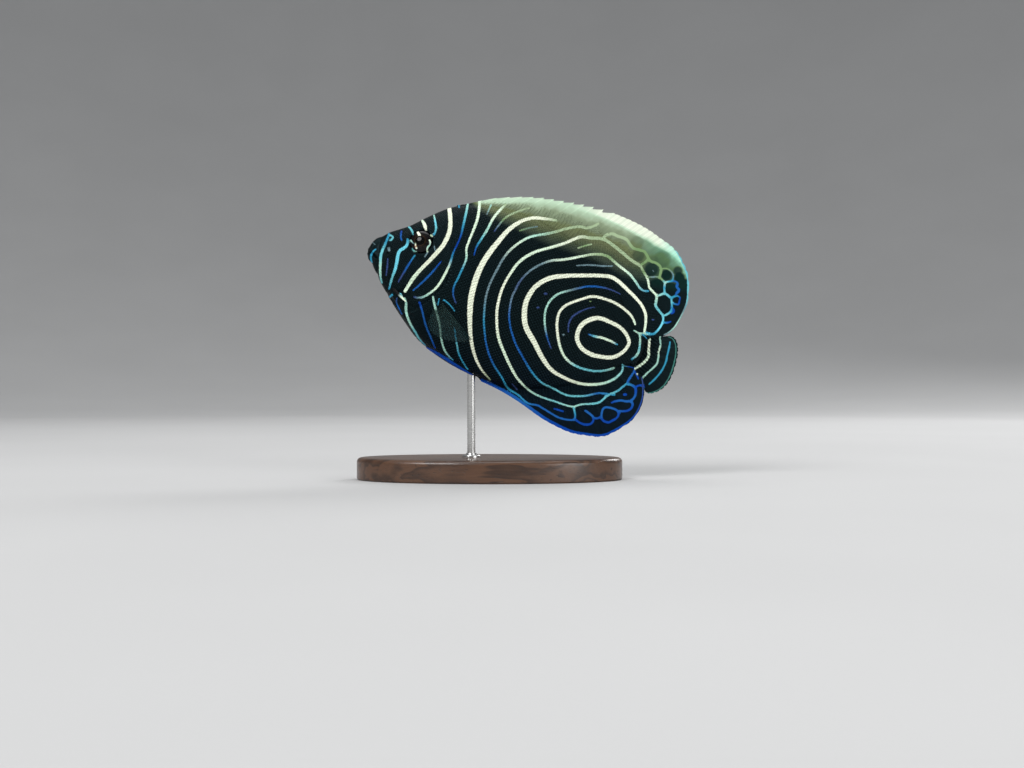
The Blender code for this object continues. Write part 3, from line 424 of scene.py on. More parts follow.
@dataclass(frozen=True)
class FishForm:
    """The bare form of the body, and where the fish's frame lies in the world."""

    length: float = 104 * MM
    pitch: float = math.radians(20.6)
    snout_height: float = 83 * MM
    snout_ahead: float = 44 * MM
    crest: float = 0.8 * MM
    crest_from: float = 0.22
    snout_crest: float = 0.25
    crest_rounding: float = 0.05
    back: tuple = ((0, 0.026), (0.008, 0.036), (0.018, 0.052), (0.04, 0.075), (0.11, 0.132), (0.16, 0.185),
                   (0.215, 0.236), (0.27, 0.268), (0.38, 0.298), (0.50, 0.306), (0.62, 0.292), (0.74, 0.251),
                   (0.84, 0.192), (0.91, 0.127), (0.96, 0.074), (1.0, 0.052))
    belly: tuple = ((0, -0.010), (0.012, -0.026), (0.031, -0.044), (0.070, -0.080), (0.163, -0.157),
                    (0.209, -0.190), (0.266, -0.227), (0.374, -0.258), (0.464, -0.272), (0.54, -0.281),
                    (0.64, -0.272), (0.74, -0.238), (0.84, -0.182), (0.91, -0.120), (0.96, -0.070),
                    (1.0, -0.050))
    width: tuple = ((0, 0.011), (0.02, 0.022), (0.06, 0.037), (0.12, 0.055), (0.2, 0.072), (0.3, 0.085),
                    (0.4, 0.087), (0.52, 0.080), (0.64, 0.066), (0.76, 0.048), (0.88, 0.031), (0.96, 0.0215),
                    (1.0, 0.019))
    upper_taper: tuple = ((0, 1.10), (0.05, 1.0), (0.2, 0.92), (0.4, 1.2), (0.7, 1.35), (1.0, 1.05))
    lower_taper: tuple = ((0, 1.10), (0.07, 0.95), (0.25, 0.85), (0.5, 1.0), (0.8, 1.3), (1.0, 1.05))
    lip_at: float = 1.2 * MM
    lip_spread: float = 0.8 * MM
    lip_swell: float = 0.45 * MM
    groove_at: float = 3.1 * MM
    groove_depth: float = 0.28 * MM
    snout_rounding: float = 0.7 * MM
    tail_rounding: float = 2.4 * MM
    bend_from: float = 0.80
    bend_curve: float = 3.0
    gill_margin: float = 30.5 * MM

    def profile(self, table: tuple, x: Array) -> Array:
        """Reads one table.

        Args:
            table: Pairs of a share of the length and a value.
            x: Distances from the snout.

        Returns:
            The value at each distance.
        """
        pairs = np.asarray(table, float)
        return smooth_through(pairs[:, 1:], pairs[:, 0], np.ravel(x) / self.length).reshape(np.shape(x))

    def section(self, x: Array) -> tuple[Array, Array, Array, Array]:
        """The body's section at distances from the snout.

        Args:
            x: The distances.

        Returns:
            Middle height, half height, half width and half width of the crests.
        """
        lip = self.lip_swell * np.exp(-((x - self.lip_at) / self.lip_spread) ** 2)
        lip = lip - self.groove_depth * np.exp(-((x - self.groove_at) / self.lip_spread) ** 2)
        top = self.profile(self.back, x) * self.length + lip
        low = self.profile(self.belly, x) * self.length - lip
        wide = self.profile(self.width, x) * self.length + lip
        share = self.snout_crest + (1 - self.snout_crest) * np.minimum(1.0, x / self.crest_from / self.length)
        ahead = np.clip(1 - x / self.snout_rounding, 0.0, 0.995)
        past = np.clip((x - self.length) / self.tail_rounding, 0.0, 0.995)
        closing = np.sqrt(1 - ahead ** 2) * np.sqrt(1 - past ** 2)
        return (top + low) / 2, (top - low) / 2 * closing, wide * closing, self.crest * share * closing

    def half_width(self, x: Array, z: Array) -> Array:
        """Half width of the body at distances from the snout and heights.

        Args:
            x: The distances.
            z: The heights.

        Returns:
            The half widths, which are 0 past the outline.
        """
        middle, half, wide, crest = self.section(x)
        sine = np.clip((z - middle) / half, -1.0, 1.0)
        taper = np.where(sine > 0, self.profile(self.upper_taper, x), self.profile(self.lower_taper, x))
        rounded = np.sqrt(np.clip((1 - np.abs(sine)) / self.crest_rounding, 0.0, 1.0))
        return crest * rounded + (wide - crest) * np.sqrt(1 - sine ** 2) ** taper

    def bend(self, x: Array) -> Array:
        """How far the rear of the fish bends to its right."""
        return self.bend_curve * np.maximum(0.0, x - self.bend_from * self.length) ** 2

    def normal(self, x: Array, z: Array, side: float) -> Array:
        """Which way the flank faces.

        Args:
            x: Distances from the snout.
            z: Heights.
            side: -1 for the left flank and 1 for the right.

        Returns:
            A unit vector for each place.
        """
        step = 0.08 * MM
        along = (self.half_width(x + step, z) - self.half_width(x - step, z)) / (2 * step)
        up = (self.half_width(x, z + step) - self.half_width(x, z - step)) / (2 * step)
        return unit(np.stack([-along, np.full_like(along, side), -up], -1))

    def flank(self, x: Array, z: Array, side: float) -> Array:
        """Points on one flank.

        Args:
            x: Distances from the snout.
            z: Heights.
            side: -1 for the left flank and 1 for the right.

        Returns:
            A point for each place.
        """
        return np.stack([x, self.bend(x) + side * self.half_width(x, z), z], -1)

    def girth(self, x: float, steps: int = 240) -> tuple[Array, Array]:
        """Distances along the skin round half a section.

        Args:
            x: The section's distance from the snout.
            steps: How many short steps it is measured in.

        Returns:
            Heights from belly to back, and how far each lies along the skin from the widest line.
        """
        angles = np.linspace(-math.pi / 2, math.pi / 2, steps + 1)
        middle, half, _, _ = self.section(np.array([x]))
        z = middle + half * np.sin(angles)
        across = self.half_width(np.full_like(z, x), z)
        run = np.concatenate([[0.0], np.cumsum(np.hypot(np.diff(z), np.diff(across)))])
        return z, run - run[steps // 2]

    def gill_at(self, z: Array) -> Array:
        """Where the rear margin of the gill cover lies at heights.

        Args:
            z: Heights in the fish's frame.

        Returns:
            How far behind the snout the margin lies there.
        """
        pull = np.where(z > 0, 6.5 * MM, 12.5 * MM)
        span = np.where(z > 0, 26 * MM, 20 * MM)
        power = np.where(z > 0, 1.5, 1.6)
        return self.gill_margin - pull * np.minimum(1.3, np.abs(z) / span) ** power

    def to_world(self, points: Array) -> Array:
        """Turns points of the fish's frame into world points.

        Args:
            points: Points in the fish's frame.

        Returns:
            The same points in the world.
        """
        x, y, z = points[..., 0], points[..., 1], points[..., 2]
        c, s = math.cos(self.pitch), math.sin(self.pitch)
        return np.stack([x * c + z * s - self.snout_ahead, y, self.snout_height - x * s + z * c], -1)

    def mirrored(self, points: Array) -> Array:
        """The same points on the other side of the fish.

        Args:
            points: Points in the fish's frame.

        Returns:
            Their mirror images in the fish's bent middle plane.
        """
        other = points.copy()
        other[..., 1] = 2 * self.bend(points[..., 0]) - other[..., 1]
        return other


class Markings:
    """All markings, drawn on the side view and carried to any point of the fish."""

    def __init__(self, form: FishForm, view: SideView) -> None:
        """Draws the markings.

        Args:
            form: The body.
            view: The camera that the side view belongs to.
        """
        self.form = form
        self.view = view
        self.curves = CurveSet(step=0.35)
        groups = (HEAD_MARKS, EYE_MARKS, FLANK_MARKS, TAIL_MARKS, NET_TOPS, NET_FEET, BELLY_MARKS)
        for mark in (mark for group in groups for mark in group):
            self.draw(mark)
        self.full = CurveSet(step=0.5)
        self.full.add(np.array(PALE_EDGE), np.array(GLOW))
        self.full.settle()
        self.dark = CurveSet(step=0.5)
        self.dark.add(np.array(PALE_FROM), np.zeros((1, 1)))
        self.dark.settle()

    def draw(self, mark: Mark) -> None:
        """Adds a stripe.

        Args:
            mark: Its widths, tones and line.
        """
        shares = np.linspace(0, 1, 40)
        widths = np.interp(shares, np.linspace(0, 1, len(mark.widths)), mark.widths)
        tones = np.array([tone.value for tone in mark.tones])
        tones = np.stack([np.interp(shares, np.linspace(0, 1, len(tones)), part) for part in tones.T], 1)
        self.curves.add(np.array(mark.line), np.column_stack([widths / 2, tones]))

    def draw_rim(self, edge: Array, widths: tuple[float, ...], tones: tuple[Tone, ...], inset: float) -> None:
        """Adds a stripe along a fin's edge.

        Args:
            edge: The edge in the fish's frame.
            widths: Widths in pixels.
            tones: Colours.
            inset: How far inside the edge the stripe runs, in pixels.
        """
        line = self.view.seen(self.form.to_world(edge))
        along = unit(np.gradient(line, axis=0))
        line = line + np.stack([-along[:, 1], along[:, 0]], 1) * inset
        self.draw(Mark(widths, tones, tuple(map(tuple, line))))

    def read(self, points: Array) -> dict[str, Array]:
        """What the markings are at points of the fish, on either side of it.

        Args:
            points: Points in the fish's frame.

        Returns:
            The values of each named attribute.
        """
        flat = points.reshape(-1, 3).copy()
        bend = self.form.bend(flat[:, 0])
        flat[:, 1] = bend - np.abs(flat[:, 1] - bend)
        places = self.view.seen(self.form.to_world(flat))
        side, past, values = self.curves.nearest(places)
        above = self.dark.nearest(places)[0]
        below, _, glow = self.full.nearest(places)
        pale = np.clip(-above / np.maximum(-above + np.maximum(below, 0.0), 1e-6), 0.0, 1.0)
        pale = np.where(above < 0, 0.84 * pale ** 0.9, 0.0)
        glow = ease(1.3 - below / glow[:, 1], 0.0, 0.7) * glow[:, 2]
        for across, down, radius, left in DARK_CELLS:
            away = np.hypot(places[:, 0] - across, places[:, 1] - down) / radius
            pale = pale * (left + (1 - left) * ease(away, 0.7, 1.15))
        pale = (pale + (1 - pale) * glow * (places[:, 1] < 284)) * ease(places[:, 0], 466.0, 482.0)
        low = ease(-flat[:, 2] / MM + 0.12 * flat[:, 0] / MM, 16.0, 40.0)
        rear = ease(places[:, 0], 622.0, 664.0) + ease(places[:, 0], 656.0, 676.0)
        rear = rear * ease(-places[:, 1], -294.0, -281.0)
        return {"mark_side": side, "mark_past": past, "mark_near": np.hypot(side, past),
                "mark_half": values[:, 1], "mark_tone": values[:, 2:5], "pale": pale, "low": low,
                "rear": rear}


def give(thing: Object, name: str, values: Array) -> None:
    """Stores values on a mesh's points.

    Args:
        thing: The piece.
        name: The attribute's name.
        values: A number or a row of three for each point.
    """
    kind = "FLOAT_VECTOR" if values.ndim == 2 else "FLOAT"
    layer = thing.data.attributes.new(name, kind, "POINT")
    key = "vector" if values.ndim == 2 else "value"
    layer.data.foreach_set(key, np.ascontiguousarray(values, np.float32).ravel())


def make_piece(name: str, points: Array, faces: list | Array, material: bpy.types.Material,
               nodes: tuple[str, ...] = ()) -> Object:
    """Makes a smooth piece that rides on the model.

    Args:
        name: The piece's name.
        points: World points.
        faces: Indices of each face's points, turned outwards.
        material: Its finish.
        nodes: The solids that it stands for.

    Returns:
        The piece.
    """
    mesh = bpy.data.meshes.new(name)
    mesh.from_pydata(points.tolist(), [], faces if isinstance(faces, list) else faces.tolist())
    mesh.shade_smooth()
    mesh.materials.append(material)
    piece = bpy.data.objects.new(name, mesh)
    bpy.context.scene.collection.objects.link(piece)
    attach(piece, BODY)
    if nodes:
        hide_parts(*nodes)
    log.info("%s: %d points, %d faces", name, len(points), len(faces))
    return piece


def grid_faces(columns: int, rows: int, closed: bool = False, start: int = 0) -> Array:
    """Four-sided faces of a grid of points.

    Args:
        columns: Columns of points.
        rows: Points in each column.
        closed: Whether each column runs back to its first point.
        start: The first point's index.

    Returns:
        Indices of each face's points.
    """
    i, j = np.meshgrid(np.arange(columns - 1), np.arange(rows if closed else rows - 1), indexing="ij")
    a, b = i * rows + j, i * rows + (j + 1) % rows
    return np.stack([a, b, b + rows, a + rows], -1).reshape(-1, 4) + start


class Shader:
    """Builds a node tree in few words."""

    def __init__(self, tree: bpy.types.NodeTree) -> None:
        """Works on a tree."""
        self.tree = tree

    def put(self, socket: bpy.types.NodeSocket, value: object) -> None:
        """Links a socket to another, or sets it to a value.

        Args:
            socket: The socket that takes the value.
            value: A socket, a plain value, or None to leave it be.
        """
        if isinstance(value, bpy.types.NodeSocket):
            self.tree.links.new(value, socket)
        elif value is not None:
            socket.default_value = value

    def node(self, kind: str, inputs: dict | None = None, **settings: object) -> bpy.types.Node:
        """Adds a node.

        Args:
            kind: Its type without the leading word.
            inputs: Values or sockets for its inputs, by name or number.
            settings: Its other settings.

        Returns:
            The node.
        """
        node = self.tree.nodes.new("ShaderNode" + kind)
        for key, value in settings.items():
            setattr(node, key, value)
        for key, value in (inputs or {}).items():
            self.put(node.inputs[key], value)
        return node

    def math(self, operation: str, a: object, b: object = None, clamp: bool = False) -> bpy.types.NodeSocket:
        """A sum of one or two numbers."""
        return self.node("Math", {0: a, 1: b}, operation=operation, use_clamp=clamp).outputs[0]

    def spread(self, value: object, low: object, high: object, to_low: float = 0.0,
               to_high: float = 1.0) -> bpy.types.NodeSocket:
        """Maps a number smoothly from one range to another."""
        return self.node("MapRange", {0: value, 1: low, 2: high, 3: to_low, 4: to_high},
                         interpolation_type="SMOOTHSTEP").outputs[0]

    def mix(self, factor: object, a: object, b: object, blend: str = "MIX") -> bpy.types.NodeSocket:
        """Mixes two colours.

        Args:
            factor: The share of the second.
            a: The first colour.
            b: The second colour.
            blend: How the second is laid over the first.

        Returns:
            The mixed colour.
        """
        node = self.node("Mix", data_type="RGBA", blend_type=blend)
        for socket, value in ((node.inputs[0], factor), (node.inputs[6], a), (node.inputs[7], b)):
            self.put(socket, value)
        return node.outputs[2]

    def stored(self, name: str, output: str = "Fac") -> bpy.types.NodeSocket:
        """Reads a value stored on the mesh."""
        return self.node("Attribute", attribute_name=name, attribute_type="GEOMETRY").outputs[output]

    def ramp(self, value: object, stops: tuple) -> bpy.types.NodeSocket:
        """Turns a number into a colour.

        Args:
            value: The number.
            stops: Pairs of a place from 0 to 1 and a colour.

        Returns:
            The colour.
        """
        node = self.node("ValToRGB", {0: value})
        band = node.color_ramp.elements
        band.remove(band[1])
        band[0].position, band[0].color = stops[0][0], (*stops[0][1], 1.0)
        for at, colour in stops[1:]:
            band.new(at).color = (*colour, 1.0)
        return node.outputs[0]

    def noise(self, scale: float, detail: float = 2.0, stretch: tuple[float, float, float] = (1, 1, 1),
              turn: tuple[float, float, float] = (0, 0, 0)) -> bpy.types.NodeSocket:
        """Noise over the piece's own coordinates.

        Args:
            scale: How fine it is.
            detail: How many finer layers it has.
            stretch: Its scale along each axis.
            turn: How it is turned about each axis.

        Returns:
            A number from 0 to 1.
        """
        place = self.node("TexCoord").outputs["Object"]
        place = self.node("Mapping", {0: place, 2: turn, 3: stretch}).outputs[0]
        return self.node("TexNoise", {"Vector": place, "Scale": scale, "Detail": detail}).outputs["Fac"]

    def bump(self, height: object, depth: float, strength: float = 1.0) -> bpy.types.NodeSocket:
        """Turns a height into a normal."""
        return self.node("Bump", {"Height": height, "Distance": depth, "Strength": strength}).outputs[0]


def paint_group() -> bpy.types.NodeTree:
    """The fish's paint: dark ground, pale back and crisp stripes, read from what the meshes store.

    Returns:
        A group with the grounds' colours and the raggedness of the edges going in, and the colour, the
        share of stripe and the share of pale back coming out.
    """
    tree = bpy.data.node_groups.new("fish_paint", "ShaderNodeTree")
    face = tree.interface
    grounds = (("Upper Ground", (0.0012, 0.0034, 0.0038, 1)), ("Lower Ground", (0.0006, 0.0025, 0.0070, 1)),
               ("Rear Ground", (0.0010, 0.0135, 0.0090, 1)))
    for name, value in grounds:
        face.new_socket(name, in_out="INPUT", socket_type="NodeSocketColor").default_value = value
    for name, value in (("Raggedness", 0.8), ("Softness", 0.45)):
        face.new_socket(name, in_out="INPUT", socket_type="NodeSocketFloat").default_value = value
    face.new_socket("Colour", in_out="OUTPUT", socket_type="NodeSocketColor")
    face.new_socket("Stripe", in_out="OUTPUT", socket_type="NodeSocketFloat")
    face.new_socket("Pale", in_out="OUTPUT", socket_type="NodeSocketFloat")
    shader = Shader(tree)
    given = tree.nodes.new("NodeGroupInput")
    half = shader.stored("mark_half")
    ragged = shader.math("MULTIPLY", shader.math("SUBTRACT", shader.noise(1200, 1.0), 0.5),
                         given.outputs["Raggedness"])
    away = [shader.math("MULTIPLY", shader.stored(name), shader.stored(name))
            for name in ("mark_side", "mark_past")]
    away = shader.math("SQRT", shader.math("ADD", *away))
    edge = shader.math("SUBTRACT", shader.math("ADD", half, ragged), away)
    soft = given.outputs["Softness"]
    crisp = shader.spread(edge, shader.math("MULTIPLY", soft, -1.0), soft)
    close = shader.math("SUBTRACT", shader.math("ADD", half, 0.5), shader.stored("mark_near"))
    stripe = shader.math("MULTIPLY", crisp, shader.spread(close, -0.2, 0.2))
    mottle = shader.math("MULTIPLY", shader.math("SUBTRACT", shader.noise(260, 3.0), 0.5), 0.16)
    pale = shader.stored("pale")
    mottle = shader.math("MULTIPLY", mottle, shader.spread(pale, 0.0, 0.3))
    shaded = shader.math("ADD", pale, mottle, clamp=True)
    rear = shader.stored("rear")
    ground = shader.mix(shader.stored("low"), given.outputs["Upper Ground"], given.outputs["Lower Ground"])
    ground = shader.mix(rear, ground, given.outputs["Rear Ground"])
    back = shader.ramp(shaded, ((0.0, (0.004, 0.006, 0.005)), (0.10, (0.022, 0.032, 0.023)),
                                (0.20, (0.044, 0.058, 0.037)), (0.285, (0.070, 0.090, 0.045)),
                                (0.385, (0.115, 0.132, 0.064)), (0.49, (0.152, 0.180, 0.080)),
                                (0.554, (0.180, 0.225, 0.135)), (0.61, (0.215, 0.268, 0.165)),
                                (0.664, (0.265, 0.335, 0.210)), (0.70, (0.360, 0.460, 0.310)),
                                (0.733, (0.410, 0.545, 0.375)), (0.787, (0.530, 0.710, 0.510)),
                                (0.85, (0.600, 0.800, 0.590)), (1.0, (0.900, 0.980, 0.800))))
    teal = shader.math("MAXIMUM", shader.math("MULTIPLY", rear, shader.spread(shaded, 0.82, 0.66)),
                       shader.math("SUBTRACT", rear, 1.0))
    back = shader.mix(teal, back, (0.60, 0.96, 0.95, 1), "MULTIPLY")
    base = shader.mix(shader.spread(pale, 0.01, 0.16), ground, back)
    colour = shader.mix(stripe, base, shader.stored("mark_tone", "Color"))
    out = tree.nodes.new("NodeGroupOutput")
    for socket, value in zip(out.inputs, (colour, stripe, pale)):
        shader.put(socket, value)
    return tree


class Finish:
    """A material with a Principled shader."""

    def __init__(self, name: str, **settings: object) -> None:
        """Makes the material.

        Args:
            name: Its name.
            settings: Values for the shader's sockets, with words joined by underscores.
        """
        self.material = bpy.data.materials.new(name)
        self.material.use_nodes = True
        self.shader = Shader(self.material.node_tree)
        self.sockets = self.material.node_tree.nodes["Principled BSDF"].inputs
        for key, value in settings.items():
            self.sockets[key.replace("_", " ")].default_value = value

    def set(self, **links: object) -> None:
        """Links the shader's sockets."""
        for key, value in links.items():
            self.shader.put(self.sockets[key.replace("_", " ")], value)

    def painted(self, paint: bpy.types.NodeTree, raggedness: float, softness: float) -> bpy.types.Node:
        """Places the fish's paint.

        Args:
            paint: The node group.
            raggedness: How uneven the stripes' edges are, in pixels of the side view.
            softness: Half the width over which they fade, in the same pixels.

        Returns:
            The group's node.
        """
        node = self.material.node_tree.nodes.new("ShaderNodeGroup")
        node.node_tree = paint
        node.inputs["Raggedness"].default_value = raggedness
        node.inputs["Softness"].default_value = softness
        return node


@dataclass(frozen=True)
class SkinFinish:
    """Moist skin with fine grain between the scales."""

    sheen: tuple[float, float, float, float] = (0.45, 0.85, 1.0, 1.0)
    roughness: float = 0.46
    raggedness: float = 0.7
    softness: float = 0.4

    def make(self, paint: bpy.types.NodeTree) -> bpy.types.Material:
        """Builds the material.

        Args:
            paint: The node group of the fish's paint.

        Returns:
            The material.
        """
        finish = Finish("skin", Specular_IOR_Level=0.14, Specular_Tint=self.sheen)
        group = finish.painted(paint, self.raggedness, self.softness)
        grain = finish.shader.noise(3200, 2.0)
        finish.set(Base_Color=group.outputs["Colour"],
                   Roughness=finish.shader.spread(grain, 0.2, 0.8, self.roughness - 0.08,
                                                  self.roughness + 0.1),
                   Normal=finish.shader.bump(grain, 0.04 * MM))
        return finish.material


@dataclass(frozen=True)
class ScaleFinish:
    """Scales: the skin's paint, each scale a little lighter or darker at random, with painted shade on its
    free rim where it overlaps the next.
    """

    sheen: tuple[float, float, float, float] = (0.45, 0.85, 1.0, 1.0)
    roughness: float = 0.42
    raggedness: float = 0.8
    softness: float = 0.4
    # How dark the painted shade makes each scale's free rim and underside, where it overlaps the next scale.
    rim_painted_shade: float = 0.90

    def make(self, paint: bpy.types.NodeTree) -> bpy.types.Material:
        """Builds the material.

        Args:
            paint: The node group of the fish's paint.

        Returns:
            The material.
        """
        finish = Finish("scale", Specular_IOR_Level=0.14, Specular_Tint=self.sheen)
        shader = finish.shader
        group = finish.painted(paint, self.raggedness, self.softness)
        # Painted shade: darker towards each scale's free rim and on its underside, where it overlaps the next
        # scale. The random tint is the scale's own tone.
        shade = shader.spread(shader.stored("rim"), 0.55, 1.0, 1.0, self.rim_painted_shade)
        shade = shader.math("MULTIPLY", shade, shader.spread(shader.stored("tint"), 0.0, 1.0, 0.93, 1.05))
        grey = shader.node("CombineColor", {0: shade, 1: shade, 2: shade}).outputs[0]
        grain = shader.noise(5200, 1.0)
        finish.set(Base_Color=shader.mix(1.0, group.outputs["Colour"], grey, "MULTIPLY"),
                   Roughness=shader.spread(shader.stored("tint"), 0.0, 1.0, self.roughness - 0.08,
                                           self.roughness + 0.1),
                   Normal=shader.bump(grain, 0.02 * MM))
        return finish.material


@dataclass(frozen=True)
class FinFinish:
    """Fins: the same paint, with rays that stand out of the web in the pale parts."""

    sheen: tuple[float, float, float, float] = (0.45, 0.85, 1.0, 1.0)
    roughness: float = 0.44
    raggedness: float = 0.7
    softness: float = 0.4
    web_shade: float = 0.88

    def make(self, paint: bpy.types.NodeTree) -> bpy.types.Material:
        """Builds the material.

        Args:
            paint: The node group of the fish's paint.

        Returns:
            The material.
        """
        finish = Finish("fin", Specular_IOR_Level=0.14, Specular_Tint=self.sheen)
        shader = finish.shader
        group = finish.painted(paint, self.raggedness, self.softness)
        shade = shader.spread(shader.stored("ray"), 0.0, 1.0, self.web_shade, 1.0)
        grey = shader.node("CombineColor", {0: shade, 1: shade, 2: shade}).outputs[0]
        plain = shader.math("MULTIPLY", group.outputs["Pale"],
                            shader.math("SUBTRACT", 1.0, group.outputs["Stripe"]))
        grain = shader.noise(2600, 2.0)
        finish.set(Base_Color=shader.mix(plain, group.outputs["Colour"],
                                         shader.mix(1.0, group.outputs["Colour"], grey, "MULTIPLY")),
                   Roughness=shader.spread(grain, 0.2, 0.8, self.roughness - 0.08, self.roughness + 0.1),
                   Normal=shader.bump(grain, 0.03 * MM))
        return finish.material


@dataclass(frozen=True)
class ClearFinFinish:
    """The breast fins: a clear smoky web between dusky rays."""

    ray_foot: tuple[float, float, float] = (0.048, 0.085, 0.074)
    ray_tip: tuple[float, float, float] = (0.008, 0.022, 0.024)
    web_colour: tuple[float, float, float] = (0.004, 0.020, 0.022)
    ray_cover: float = 0.58
    web_cover: float = 0.26
    lead_cover: float = 0.85

    def make(self) -> bpy.types.Material:
        """Builds the material.

        Returns:
            The material.
        """
        finish = Finish("clear_fin", Specular_IOR_Level=0.08, Roughness=0.5)
        shader = finish.shader
        ray = shader.spread(shader.stored("ray"), 0.1, 0.75)
        dusk = shader.spread(shader.stored("out"), 0.15, 0.85)
        ray_colour = shader.mix(dusk, (*self.ray_foot, 1), (*self.ray_tip, 1))
        cover = shader.spread(ray, 0.0, 1.0, self.web_cover, self.ray_cover)
        cover = shader.math("MAXIMUM", cover, shader.math("MULTIPLY", shader.stored("lead"), self.lead_cover))
        finish.set(Base_Color=shader.mix(ray, (*self.web_colour, 1), ray_colour),
                   Alpha=shader.math("MAXIMUM", cover, shader.stored("flesh")))
        return finish.material


@dataclass(frozen=True)
class EyeFinish:
    """A glassy eye: black pupil, thin pale ring, dark iris with the stripes that cross it."""

    pupil: float = 0.44
    ring: float = 0.50

    def make(self, paint: bpy.types.NodeTree) -> bpy.types.Material:
        """Builds the material.

        Args:
            paint: The node group of the fish's paint.

        Returns:
            The material.
        """
        finish = Finish("eye", Specular_IOR_Level=0.14, Roughness=0.09, Coat_Weight=0.08, Coat_Roughness=0.03)
        shader = finish.shader
        group = finish.painted(paint, 0.3, 0.4)
        out = shader.stored("eye_out")
        streak = shader.spread(shader.stored("streak"), 0.0, 1.0, 0.75, 1.25)
        iris = shader.ramp(out, ((0.0, (0.002, 0.002, 0.002)), (self.pupil - 0.02, (0.002, 0.002, 0.002)),
                                 (self.pupil, (0.030, 0.015, 0.006)), (self.ring, (0.010, 0.006, 0.004)),
                                 (0.62, (0.005, 0.004, 0.004)), (0.9, (0.003, 0.003, 0.004)),
                                 (1.0, (0.002, 0.002, 0.003))))
        grey = shader.node("CombineColor", {0: streak, 1: streak, 2: streak}).outputs[0]
        ringed = shader.spread(out, self.pupil - 0.02, self.pupil)
        outside = shader.math("MULTIPLY", group.outputs["Stripe"], ringed)
        finish.set(Base_Color=shader.mix(outside, shader.mix(1.0, iris, grey, "MULTIPLY"),
                                         group.outputs["Colour"]))
        return finish.material


@dataclass(frozen=True)
class SpineFinish:
    """The cheek spine: dark skin over its root, bare bone from the middle on, whitest at the tip."""

    def make(self) -> bpy.types.Material:
        """Builds the material.

        Returns:
            The material.
        """
        finish = Finish("cheek_spine", Specular_IOR_Level=0.14)
        shader = finish.shader
        along = shader.stored("along")
        colour = shader.ramp(along, ((0.0, (0.004, 0.004, 0.004)), (0.52, (0.005, 0.006, 0.008)),
                                     (0.62, (0.30, 0.44, 0.42)), (0.72, (0.74, 0.88, 0.68)),
                                     (1.0, (0.86, 0.95, 0.74))))
        finish.set(Base_Color=colour, Roughness=shader.spread(along, 0.5, 0.75, 0.62, 0.34),
                   Coat_Weight=shader.spread(along, 0.55, 0.8, 0.0, 0.25),
                   Normal=shader.bump(shader.noise(2600, 2.0), 0.02 * MM))
        return finish.material


@dataclass(frozen=True)
class WoodFinish:
    """Dark walnut, oiled and rubbed."""

    dark: tuple[float, float, float] = (0.020, 0.0085, 0.0045)
    light: tuple[float, float, float] = (0.105, 0.047, 0.022)

    def make(self) -> bpy.types.Material:
        """Builds the material.

        Returns:
            The material.
        """
        finish = Finish("dark_wood", Specular_IOR_Level=0.45, Coat_Weight=0.35, Coat_Roughness=0.16)
        shader = finish.shader
        rings = shader.noise(46, 3.0, (0.22, 1.9, 1.9))
        bands = shader.math("FRACT", shader.math("MULTIPLY", rings, 9.0))
        bands = shader.math("MULTIPLY", shader.spread(bands, 0.0, 0.62), shader.spread(bands, 1.0, 0.86))
        fibre = shader.noise(1500, 3.0, (0.03, 1.0, 1.0))
        pores = shader.spread(shader.noise(2600, 1.0, (0.07, 1.0, 1.0)), 0.34, 0.28)
        tone = shader.math("ADD", shader.math("MULTIPLY", bands, 0.62), shader.math("MULTIPLY", fibre, 0.5))
        colour = shader.mix(tone, (*self.dark, 1), (*self.light, 1))
        colour = shader.mix(shader.math("MULTIPLY", pores, 0.7), colour, (0.008, 0.004, 0.002, 1))
        height = shader.math("SUBTRACT", fibre, pores)
        finish.set(Base_Color=colour, Roughness=shader.spread(fibre, 0.2, 0.8, 0.30, 0.46),
                   Normal=shader.bump(height, 0.03 * MM))
        return finish.material


@dataclass(frozen=True)
class SteelFinish:
    """Turned and brushed stainless steel."""

    roughness: float = 0.26

    def make(self) -> bpy.types.Material:
        """Builds the material.

        Returns:
            The material.
        """
        finish = Finish("steel", Base_Color=(0.58, 0.58, 0.57, 1), Metallic=1.0)
        shader = finish.shader
        lines = shader.noise(240, 1.0, (0.3, 0.3, 6.0))
        finish.set(Roughness=shader.spread(lines, 0.25, 0.75, self.roughness - 0.04, self.roughness + 0.06))
        return finish.material


class FoldKind(Enum):
    """What a line on the head is."""

    CREASE = "crease"
    LIP = "crease between two lips"
    STEP = "edge that stands over what lies behind it"


@dataclass(frozen=True)
class Fold:
    """A line on the head, in millimetres of the fish's frame, from its upper end to its lower one."""

    kind: FoldKind
    depth: float
    spread: float
    line: tuple[tuple[float, float], ...]


HEAD_FOLDS = (
    Fold(FoldKind.LIP, 0.62, 0.26, ((-0.6, -0.45), (0.4, -0.46), (1.4, -0.62), (2.7, -1.0), (3.9, -1.6))),
    Fold(FoldKind.CREASE, 0.30, 0.34, ((3.9, -1.6), (4.9, -2.9), (5.5, -4.6), (5.9, -6.4), (7.2, -9.4))),
    Fold(FoldKind.CREASE, 0.16, 0.40, ((3.2, 3.6), (3.9, 1.6), (4.5, 0.0), (4.9, -2.0))),
    Fold(FoldKind.STEP, 0.34, 1.9, ((25.6, 10.2), (24.2, 6.6), (22.4, 2.2), (20.6, -2.4), (18.6, -6.6),
                                    (16.4, -9.6), (13.4, -11.6))),
    Fold(FoldKind.CREASE, 0.22, 0.36, ((17.0, -10.4), (19.4, -12.2), (22.4, -13.6), (24.6, -13.4))),
    Fold(FoldKind.CREASE, 0.14, 0.34, ((12.8, -12.4), (16.4, -14.6), (20.4, -16.2), (23.8, -16.8))),
)


